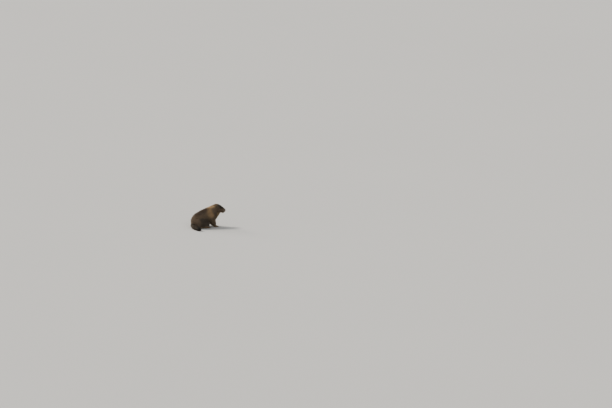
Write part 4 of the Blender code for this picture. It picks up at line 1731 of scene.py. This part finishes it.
@dataclass(frozen=True)
class BareSkinFinish:
    """Dark bare skin, finely pebbled, as on the nose, lips and lids, with painted shade deep in the
    nostrils.
    """

    name: str
    colour: tuple[float, float, float]
    grain: float
    roughness: float
    depth: float
    depth_share: float = 0.6
    cell_edge: float = 0.35
    tones: tuple[float, float] = (0.45, 1.8)
    cloud_scale: float = 260.0
    cloud_edge: tuple[float, float] = (0.35, 0.7)
    cloud_share: float = 0.5
    gloss: tuple[float, float] = (0.8, 1.25)
    # Painted shade: the nostrils' hollows go near black
    nostril_shade_edge: tuple[float, float] = (0.2, 0.7)
    inside: tuple[float, float, float] = (0.002, 0.0015, 0.0015)

    def build(self) -> bpy.types.Material:
        """Make the material from cells over the piece.

        Returns:
            The material.
        """
        made, graph, shader = new_material(self.name)
        place = graph.node("TexCoord").outputs["Object"]
        cells = graph.node("TexVoronoi", feature="DISTANCE_TO_EDGE")
        graph.feed(cells.inputs["Vector"], place)
        cells.inputs["Scale"].default_value = self.grain
        height = graph.span(cells.outputs["Distance"], 0.0, self.cell_edge, 0.0, 1.0)
        cloud = graph.noise(place, self.cloud_scale, 3.0).outputs["Fac"]
        dark, pale = (tuple(c * tone for c in self.colour) for tone in self.tones)
        colour = graph.mix(height, dark, self.colour)
        paled = graph.span(cloud, *self.cloud_edge, 0.0, self.cloud_share)
        colour = graph.mix(paled, colour, pale)
        # Painted shade in the nostrils, by how deep each point is dented
        hollow = graph.node("Attribute", attribute_name="hollow").outputs["Fac"]
        colour = graph.mix(graph.span(hollow, *self.nostril_shade_edge, 0.0, 1.0), colour, self.inside)
        graph.feed(shader.inputs["Base Color"], colour)
        smooth, dull = (self.roughness * share for share in self.gloss)
        rough = graph.span(cloud, 0.3, 0.7, smooth, dull)
        graph.feed(shader.inputs["Roughness"], rough)
        graph.feed(shader.inputs["Normal"], graph.bump(height, self.depth_share, self.depth))
        return made


LID_SKIN = BareSkinFinish("lid_skin", (0.011, 0.009, 0.008), 3600.0, 0.5, 0.06 * MM)
LIP_SKIN = BareSkinFinish("lip_skin", (0.035, 0.026, 0.022), 3000.0, 0.5, 0.08 * MM)
NOSE_LEATHER = BareSkinFinish("nose_leather", (0.02, 0.017, 0.016), 2600.0, 0.38, 0.1 * MM)


@dataclass(frozen=True)
class WhiskerFinish:
    """Black bristle, paler here and there along its length."""

    dark: tuple[float, float, float] = (0.012, 0.01, 0.009)
    pale: tuple[float, float, float] = (0.06, 0.05, 0.04)
    cloud_scale: float = 120.0
    roughness: float = 0.35

    def build(self) -> bpy.types.Material:
        """Make the material.

        Returns:
            The material.
        """
        made, graph, shader = new_material("whisker", Roughness=self.roughness)
        place = graph.node("TexCoord").outputs["Object"]
        cloud = graph.noise(place, self.cloud_scale, 1.0).outputs["Fac"]
        graph.feed(shader.inputs["Base Color"], graph.mix(cloud, self.dark, self.pale))
        return made


@dataclass
class Eyes:
    """The eyeballs with their lids."""

    places: BodyFrame
    skin: Skin
    axis: tuple[float, float, float] = (0.34, 0.92, 0.2)
    bulge: float = 0.35 * MM
    bulge_angle: float = 0.75
    lid_reach: float = 6.0 * MM
    lid_half: float = 0.8 * MM
    lid_up: tuple[float, float, float] = (0.12, 0.0, 1.0)
    almond: tuple[float, float] = (1.1, 0.82)
    lid_ahead: float = 4.45 * MM
    margin: float = 0.7 * MM
    lid_rise: float = 0.7 * MM
    lid_sides: int = 14
    lid_steps: int = 64
    brow: float = 0.35
    corner_power: int = 6
    corner_thin: float = 0.45
    corner_wide: float = 0.06
    brow_rise: float = 0.35 * MM
    corner_drop: float = 1.1 * MM
    centres: dict[str, Vector] = field(default_factory=dict)
    radius: float = 0.0

    def out_of(self, word: str) -> Vector:
        """The way that an eye looks."""
        x, y, z = self.axis
        return self.places.head_way((x, y * SIDES[word], z))

    def measure(self) -> None:
        """Find the eyes where the part has them."""
        for word in SIDES:
            low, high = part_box(f"eye_{word}")
            self.centres[word] = (low + high) / 2
            self.radius = (high.z - low.z) / 2

    def bald(self) -> list[Bald]:
        """Where the lids keep the coat off the eyes."""
        return [Bald(centre, self.radius + self.margin) for centre in self.centres.values()]

    def build(self) -> None:
        """Make both eyes and both pairs of lids."""
        ball, skin = EyeFinish().build(), LID_SKIN.build()
        for word in SIDES:
            finish_piece(self.ball(word), ball, "eye", f"eye_{word}")
            finish_piece(self.lids(word), skin, "nose_skin")
            log.info("eye and lids, %s", word)

    def ball(self, word: str) -> bpy.types.Object:
        """An eyeball whose front bulges over the iris.

        Args:
            word: Left or right.

        Returns:
            The eyeball.
        """
        form = bmesh.new()
        bmesh.ops.create_uvsphere(form, u_segments=40, v_segments=28, radius=1)
        off = [math.acos(max(-1.0, min(1.0, v.co.z))) for v in form.verts]
        for vert, angle in zip(form.verts, off):
            vert.co *= self.radius + self.bulge * math.exp(-((angle / self.bulge_angle) ** 2))
        up = self.places.head_way((0, 0, 1))
        place = frame_of(self.centres[word], self.out_of(word), up)
        bmesh.ops.transform(form, matrix=place, verts=form.verts)
        eye = object_from(f"eyeball_{word}", form)
        number_points(eye, "off_axis", off)
        return eye

    def lids(self, word: str) -> bpy.types.Object:
        """The upper and lower lid as one almond ring, thicker above.

        Args:
            word: Left or right.

        Returns:
            The lids.
        """
        form = bmesh.new()
        ring = bmesh.ops.create_circle(form, segments=self.lid_sides, radius=self.lid_half)["verts"]
        start = Matrix.Translation((self.lid_reach, 0, 0)) @ Matrix.Rotation(math.pi / 2, 4, "X")
        bmesh.ops.transform(form, matrix=start, verts=ring)
        bmesh.ops.spin(
            form,
            geom=form.verts[:] + form.edges[:],
            cent=(0, 0, 0),
            axis=(0, 0, 1),
            angle=2 * math.pi,
            steps=self.lid_steps,
            use_merge=True,
        )
        up = self.places.head_way(self.lid_up)
        out = self.out_of(word)
        place = frame_of(self.centres[word] + out * self.lid_ahead, out, up)
        for vert in form.verts:
            turn = math.atan2(vert.co.y, vert.co.x)
            above = max(0.0, math.sin(turn))
            corner = abs(math.cos(turn)) ** self.corner_power
            middle = Vector((math.cos(turn), math.sin(turn), 0)) * self.lid_reach
            thick = 1 + self.brow * above - self.corner_thin * corner
            vert.co = middle + (vert.co - middle) * thick
            wide = self.almond[0] + self.corner_wide * corner
            line = Vector((middle.x * wide, middle.y * self.almond[1], 0))
            skin = (place.inverted() @ self.skin.outer(place @ line, out)).z
            vert.co.x *= wide
            vert.co.y *= self.almond[1]
            least = self.brow_rise * above - self.corner_drop * corner
            vert.co.z += max(least, min(skin, self.lid_rise))
        bmesh.ops.transform(form, matrix=place, verts=form.verts)
        return object_from(f"lids_{word}", form)


@dataclass
class Muzzle:
    """The nose pad, the line of the lips and the whiskers."""

    places: BodyFrame
    skin: Skin
    nose_place: tuple[float, float, float] = (11.2, 0.0, 0.18)
    nose_radii: tuple[float, float, float] = (0.46, 0.7, 0.5)
    nostril: tuple[float, float, float] = (0.36, 0.3, 0.02)
    nostril_size: float = 1.75 * MM
    nostril_depth: float = 3.4 * MM
    nostril_slant: float = 0.45
    nostril_oval: tuple[float, float] = (0.75, 1.25)
    groove: float = 0.5 * MM
    groove_from: float = 0.4
    mouth_middle: tuple[float, float, float] = (9.2, 0.0, -1.45)
    mouth_drop: float = 5 * MM
    mouth_fall: float = 1.5 * MM
    mouth_width: float = math.radians(112)
    mouth_half: int = 22
    mouth_reach: float = 1.1
    lip_half: float = 0.55 * MM
    lip_oval: tuple[float, float] = (0.9, 0.8)
    lip_taper: float = 0.6
    lip_gap: float = 0.5 * MM
    cleft_ahead: float = 8.0
    cleft_span: tuple[float, float] = (0.15, -1.4)
    cleft_points: int = 11
    cleft_radii: tuple[float, float] = (0.34 * MM, 0.28 * MM)
    pad_clear: float = 5.2 * MM
    pad_spots: tuple[float, ...] = (-0.22, 0.0, 0.22)
    lip_clear: float = 0.95 * MM
    cleft_clear: float = 0.7 * MM
    whiskers: int = 18
    whisker_rows: int = 4
    whisker_first: tuple[float, float, float] = (10.2, 0.4, 0.25)
    whisker_apart: tuple[float, float] = (0.42, 0.34)
    whisker_stray: tuple[float, float] = (0.06, 0.05)
    whisker_side: tuple[float, float, float] = (0.25, 1.0, 0.0)
    whisker_way: tuple[float, float, float] = (0.35, 1.0, 0.12)
    whisker_fan: tuple[float, float] = (0.17, 0.12)
    whisker_length: float = 25.0
    whisker_longer: float = 7.0
    whisker_vary: tuple[float, float] = (-3.0, 5.0)
    whisker_root: float = 0.16 * MM
    whisker_tip: float = 0.02 * MM
    whisker_taper: float = 0.8
    whisker_back: tuple[float, float, float] = (-1.0, 0.0, -0.15)
    whisker_bend: float = 0.38
    whisker_steps: int = 6
    brow_way: tuple[float, float, float] = (-0.3, 0.75, 0.55)
    brow_whiskers: tuple[tuple[float, float, float], ...] = ((5.9, 1.3, 1.56), (5.4, 1.4, 1.5))
    brow_lengths: tuple[float, ...] = (20.0, 26.0)

    def bald(self) -> list[Bald]:
        """Where the nose and the lips keep the coat away.

        Returns:
            The bald places.
        """
        x, _, z = self.nose_place
        spots = [Bald(self.places.on_head((x, y, z)), self.pad_clear) for y in self.pad_spots]
        for line in (self.mouth_line(-self.lip_gap), self.mouth_line(self.lip_gap)):
            spots += [Bald(point, self.lip_clear) for point in line]
        return spots + [Bald(point, self.cleft_clear) for point in self.cleft_line()]

    def build(self) -> None:
        """Make every piece of the muzzle."""
        finish_piece(self.nose(), NOSE_LEATHER.build(), "nose_skin", "nose")
        lip_skin = LIP_SKIN.build()
        finish_piece(self.lips(), lip_skin, "nose_skin")
        finish_piece(self.philtrum(), lip_skin, "nose_skin")
        log.info("nose and lips")
        finish_piece(self.whisker_hairs(), WhiskerFinish().build(), "head_coat")
        log.info("whiskers: %d", 2 * (self.whiskers + len(self.brow_whiskers)))

    def nose(self) -> bpy.types.Object:
        """The pad, dented by the nostrils and parted down its middle.

        Returns:
            The pad.
        """
        form = bmesh.new()
        bmesh.ops.create_uvsphere(form, u_segments=72, v_segments=56, radius=1)
        radii = Vector(self.nose_radii) * CM
        hollow = []
        for vert in form.verts:
            vert.co = Vector((vert.co.x * radii.x, vert.co.y * radii.y, vert.co.z * radii.z))
            deep = 0.0
            for side in SIDES.values():
                x, y, z = self.nostril
                off = vert.co - Vector((x, y * side, z)) * CM
                slant = off.z + self.nostril_slant * off.y * side
                wide, high = self.nostril_oval
                spread = math.hypot(off.y * wide, slant * high)
                if vert.co.x > 0:
                    deep = max(deep, math.exp(-((spread / self.nostril_size) ** 3)))
            hollow.append(deep)
            vert.co.x -= self.nostril_depth * deep
            low = max(0.0, -vert.co.z / radii.z + self.groove_from)
            vert.co.x -= self.groove * low * math.exp(-((vert.co.y / self.groove) ** 2))
        place = self.places.head @ Matrix.Translation(Vector(self.nose_place) * CM)
        bmesh.ops.transform(form, matrix=place, verts=form.verts)
        pad = object_from("nose_pad", form)
        # How deep each point is dented, which the nose's finish paints as shade
        number_points(pad, "hollow", hollow)
        return pad

    def mouth_line(self, lower: float) -> list[Vector]:
        """Points along the mouth from corner to corner, moved down by lower.

        Args:
            lower: How far down the line is moved, in metres.

        Returns:
            The points on the skin.
        """
        points = []
        half, up = self.mouth_half, self.places.head_way((0, 0, 1))
        for i in range(-half, half + 1):
            part = abs(i) / half
            turn = self.mouth_width * i / half
            curve = self.mouth_drop * math.sin(math.pi * min(1.0, part * self.mouth_reach))
            drop = curve + self.mouth_fall * part
            aim = self.places.on_head(self.mouth_middle) - up * (drop + lower)
            out = self.places.head_way((math.cos(turn), math.sin(turn), 0))
            points.append(self.skin.outer(aim, out))
        return points

    def lips(self) -> bpy.types.Object:
        """The two lips, which meet in the dark line of the mouth.

        Returns:
            The piece.
        """
        form = bmesh.new()
        up = self.places.head_way((0, 0, 1))
        for lower in (-self.lip_gap, self.lip_gap):
            line = self.mouth_line(lower)
            last = len(line) - 1
            radii = []
            for i in range(len(line)):
                part = abs(2 * i / last - 1)
                size = self.lip_half * (1 - self.lip_taper * part**3)
                radii.append((size * self.lip_oval[0], size * self.lip_oval[1]))
            sweep(form, line, radii, up, sides=10)
        return object_from("lips", form)

    def cleft_line(self) -> list[Vector]:
        """Points from the nose down to the lips.

        Returns:
            The points on the skin.
        """
        ahead = self.places.head_way((1, 0, 0))
        heights = np.linspace(*self.cleft_span, self.cleft_points)
        aims = [self.places.on_head((self.cleft_ahead, 0, z)) for z in heights]
        return [self.skin.outer(aim, ahead) for aim in aims]

    def philtrum(self) -> bpy.types.Object:
        """The cleft's dark edge from the nose down to the lips.

        Returns:
            The piece.
        """
        form = bmesh.new()
        line = self.cleft_line()
        across = self.places.head_way((0, 1, 0))
        sweep(form, line, [self.cleft_radii] * len(line), across, sides=8)
        return object_from("philtrum", form)

    def whisker_hairs(self) -> bpy.types.Object:
        """Long bristles in rows on each whisker pad, and two over each eye.

        Returns:
            All whiskers as one piece.
        """
        draw = np.random.default_rng(SEED + 1)
        form = bmesh.new()
        for side in SIDES.values():
            out = self.sideways(self.whisker_side, side)
            for k in range(self.whiskers):
                row, column = k % self.whisker_rows, k // self.whisker_rows
                x, y, z = self.whisker_first
                x = x - self.whisker_apart[0] * column + draw.normal(0, self.whisker_stray[0])
                z = z - self.whisker_apart[1] * row + draw.normal(0, self.whisker_stray[1])
                ahead, across, up = self.whisker_way
                ahead, up = ahead - self.whisker_fan[0] * column, up - self.whisker_fan[1] * row
                way = self.sideways((ahead, across, up), side)
                root = self.skin.outer(self.places.on_head((x, y * side, z)), out)
                length = self.whisker_length + self.whisker_longer * column
                self.bristle(form, root, way, length + draw.uniform(*self.whisker_vary))
            way = self.sideways(self.brow_way, side)
            for (x, y, z), length in zip(self.brow_whiskers, self.brow_lengths):
                root = self.skin.outer(self.places.on_head((x, y * side, z)), way)
                self.bristle(form, root, way, length)
        return object_from("whiskers", form)

    def sideways(self, way: tuple[float, float, float], side: int) -> Vector:
        """A way on the head, turned to its left or, for a side of -1, its right."""
        return self.places.head_way((way[0], way[1] * side, way[2]))

    def bristle(self, form: bmesh.types.BMesh, root: Vector, way: Vector, length: float) -> None:
        """One whisker of a length in mm, which bends back and down to a fine tip.

        Args:
            form: The bmesh that takes it.
            root: Where it leaves the skin.
            way: The way that it leaves.
            length: Its length in mm.
        """
        back = self.places.head_way(self.whisker_back)
        points, radii = [], []
        for i in range(self.whisker_steps + 1):
            part = i / self.whisker_steps
            bend = back * (length * MM * self.whisker_bend * part**2)
            point = root + way * (length * MM * part) + bend
            points.append(point - way * (1.0 * MM if i == 0 else 0.0))
            size = self.whisker_root * (1 - part) ** self.whisker_taper + self.whisker_tip
            radii.append((size, size))
        sweep(form, points, radii, Vector((0, 0, 1)), sides=4)


# Claws


@dataclass(frozen=True)
class HornFinish:
    """Dark horn, streaked along the claw and worn pale at the tip."""

    base: tuple[float, float, float] = (0.03, 0.024, 0.02)
    tip: tuple[float, float, float] = (0.16, 0.12, 0.085)
    streak_scale: tuple[float, float, float] = (120.0, 1600.0, 900.0)
    streak_value: float = 2.2
    streak_edge: tuple[float, float] = (0.4, 0.7)
    streak_share: float = 0.6
    streak_depth: float = 0.2 * MM
    streak_relief: float = 0.25
    tip_from: float = 0.45
    tip_share: float = 0.85
    gloss: tuple[float, float] = (0.28, 0.48)

    def build(self) -> bpy.types.Material:
        """Make the material, which reads how far along the claw a point is.

        Returns:
            The material.
        """
        made, graph, shader = new_material("claw_horn")
        along = graph.node("Attribute", attribute_name="along").outputs["Fac"]
        place = graph.node("TexCoord").outputs["Object"]
        stretched = graph.node("Mapping")
        graph.feed(stretched.inputs["Vector"], place)
        stretched.inputs["Scale"].default_value = self.streak_scale
        streak = graph.noise(stretched.outputs["Vector"], 1.0, 3.0).outputs["Fac"]
        worn = graph.span(along, self.tip_from, 1.0, 0.0, self.tip_share)
        horn = graph.mix(worn, self.base, self.tip)
        pale = tuple(c * self.streak_value for c in self.base)
        streaked = graph.span(streak, *self.streak_edge, 0.0, self.streak_share)
        horn = graph.mix(streaked, horn, pale)
        graph.feed(shader.inputs["Base Color"], horn)
        graph.feed(shader.inputs["Roughness"], graph.span(streak, 0.3, 0.7, *self.gloss))
        relief = graph.bump(streak, self.streak_relief, self.streak_depth)
        graph.feed(shader.inputs["Normal"], relief)
        return made


# How many corners of the part's claw lie round its root and at its tip
CLAW_ROOT, CLAW_TIP = 6, 3


@dataclass
class Claws:
    """Smooth, curved claws in the places of the part's."""

    fatness: float = 1.575 * MM
    point: float = 0.12 * MM
    taper: float = 1.6
    oval: tuple[float, float] = (0.72, 0.95)
    buried_mm: float = 3.0
    raised: float = 0.4 * MM
    arch: float = 4.8 * MM
    sides: int = 14
    steps: int = 12

    def build(self) -> None:
        """Make a piece for each claw of the part."""
        horn = HornFinish().build()
        for limb in ("fore", "hind"):
            for word in SIDES:
                names = sorted(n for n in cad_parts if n.startswith(f"claw_{limb}_{word}"))
                for name in names:
                    finish_piece(self.claw(name), horn, "claw", name)
                log.info("claws, %s %s: %d", limb, word, len(names))

    def claw(self, name: str) -> bpy.types.Object:
        """One claw along the line of the part's claw.

        Args:
            name: The part's claw.

        Returns:
            The piece that stands for it.
        """
        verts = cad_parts[name].data.vertices
        points = sorted((vert.co.copy() for vert in verts), key=lambda point: point.x)
        root = sum(points[:CLAW_ROOT], Vector()) / CLAW_ROOT
        tip = sum(points[-CLAW_TIP:], Vector()) / CLAW_TIP
        way = tip - root
        level = Vector((way.x, way.y, 0)).normalized()
        start = root - level * self.buried_mm * MM + Vector((0, 0, self.raised))
        line, radii = [], []
        for k in range(self.steps + 1):
            t = k / self.steps
            line.append(start.lerp(tip, t) + Vector((0, 0, self.arch * t * (1 - t))))
            size = self.fatness * (1 - t**self.taper) + self.point
            radii.append((size * self.oval[0], size * self.oval[1]))
        form = bmesh.new()
        across = Vector((0, 0, 1)).cross(level)
        sweep(form, line, radii, across, self.sides)
        span = (tip - start).length
        along = [max(0.0, min(1.0, (v.co - start).length / span)) for v in form.verts]
        piece = object_from(name.replace("claw", "horn"), form)
        number_points(piece, "along", along)
        return piece


# Studio


@dataclass(frozen=True)
class Lamp:
    """A distant lamp: where it is from the camera, its spread, strength and tint."""

    name: str
    right: float
    behind: float
    above: float
    spread: float
    strength: float
    tint: tuple[float, float, float]


LAMPS = (
    Lamp("key", -0.66, 0.42, 0.8, 16, 3.2, (1.0, 0.95, 0.87)),
    Lamp("rim", -0.85, 0.75, 0.42, 24, 1.3, (1.0, 0.96, 0.9)),
    Lamp("fill", 0.7, -0.9, 0.7, 14, 0.5, (0.95, 0.97, 1.0)),
)


@dataclass
class Studio:
    """A plain pale floor, soft light and the camera."""

    places: BodyFrame
    floor_size: float = 160.0
    floor_colour: tuple[float, float, float] = (0.62, 0.61, 0.59)
    floor_roughness: float = 0.9
    cloud_scale: float = 0.4
    cloud_value: float = 1.04
    yaw: float = math.radians(-15)
    height: float = math.radians(12)
    lens: float = 200.0
    metres_a_pixel: float = 0.0095
    frame_width: int = 612
    sensor: float = 36.0
    view_end: float = 300.0
    right_of_middle: float = 98.0
    above_middle: float = 22.5
    sky: float = 0.45
    sky_tint: tuple[float, float, float, float] = (0.96, 0.98, 1.0, 1.0)

    def build(self) -> None:
        """Set up the floor, the lights and the camera."""
        self.floor()
        self.lights()
        self.camera()
        log.info("floor, lights and camera")

    def floor(self) -> None:
        """A wide floor that fills the frame behind the animal."""
        form = bmesh.new()
        bmesh.ops.create_grid(form, x_segments=2, y_segments=2, size=self.floor_size / 2)
        floor = object_from("floor", form, smooth=False)
        made, graph, shader = new_material("floor", Roughness=self.floor_roughness)
        place = graph.node("TexCoord").outputs["Object"]
        cloud = graph.noise(place, self.cloud_scale).outputs["Fac"]
        light = tuple(c * self.cloud_value for c in self.floor_colour)
        graph.feed(shader.inputs["Base Color"], graph.mix(cloud, self.floor_colour, light))
        floor.data.materials.append(made)

    def towards(self, lamp: Lamp) -> Vector:
        """The direction to a lamp.

        Args:
            lamp: The lamp.

        Returns:
            The direction, at length one.
        """
        across = Vector((math.cos(self.yaw), math.sin(self.yaw), 0))
        away = Vector((-math.sin(self.yaw), math.cos(self.yaw), 0))
        up = Vector((0, 0, lamp.above))
        return (across * lamp.right + away * lamp.behind + up).normalized()

    def lights(self) -> None:
        """Soft light from all round, with a broad key from the upper left behind."""
        world = bpy.data.worlds.new("studio")
        world.use_nodes = True
        sky = world.node_tree.nodes["Background"]
        sky.inputs["Color"].default_value = self.sky_tint
        sky.inputs["Strength"].default_value = self.sky
        bpy.context.scene.world = world
        for lamp in LAMPS:
            sun = bpy.data.objects.new(lamp.name, bpy.data.lights.new(lamp.name, "SUN"))
            bpy.context.scene.collection.objects.link(sun)
            sun.data.energy = lamp.strength
            sun.data.angle = math.radians(lamp.spread)
            sun.data.color = lamp.tint
            sun.rotation_euler = (-self.towards(lamp)).to_track_quat("-Z", "Y").to_euler()

    def camera(self) -> None:
        """The camera at the photograph's angle, with the animal as small as there."""
        back = Vector((
            math.sin(self.yaw) * math.cos(self.height),
            -math.cos(self.yaw) * math.cos(self.height),
            math.sin(self.height),
        ))
        right = Vector((math.cos(self.yaw), math.sin(self.yaw), 0))
        up = right.cross(-back)
        scale = self.metres_a_pixel
        offset = right * self.right_of_middle + up * self.above_middle
        target = self.places.body.to_translation() + offset * scale
        lens = bpy.data.cameras.new("camera")
        lens.lens = self.lens
        lens.sensor_width = self.sensor
        lens.clip_end = self.view_end
        camera = bpy.data.objects.new("camera", lens)
        bpy.context.scene.collection.objects.link(camera)
        camera.location = target + back * (self.frame_width * scale * self.lens / self.sensor)
        camera.rotation_euler = (-back).to_track_quat("-Z", "Y").to_euler()
        bpy.context.scene.camera = camera


def build_marmot() -> None:
    """Build the whole scene in order."""
    places = BodyFrame.measured()
    lie = Lie(places)
    skin = Skin(places, lie)
    skin.build()
    markings = MarkingsAndPaintedLight(places).build()
    skin.dress(SkinFinish(markings))
    eyes = Eyes(places, skin)
    eyes.measure()
    muzzle = Muzzle(places, skin)
    coat = Coat(skin, eyes.bald() + muzzle.bald())
    coat.build()
    coat.dress(FurFinish(markings))
    eyes.build()
    muzzle.build()
    Claws().build()
    Studio(places).build()


if __name__ == "__main__":
    logging.basicConfig(level=logging.INFO, format="%(name)s: %(message)s")
    build_marmot()
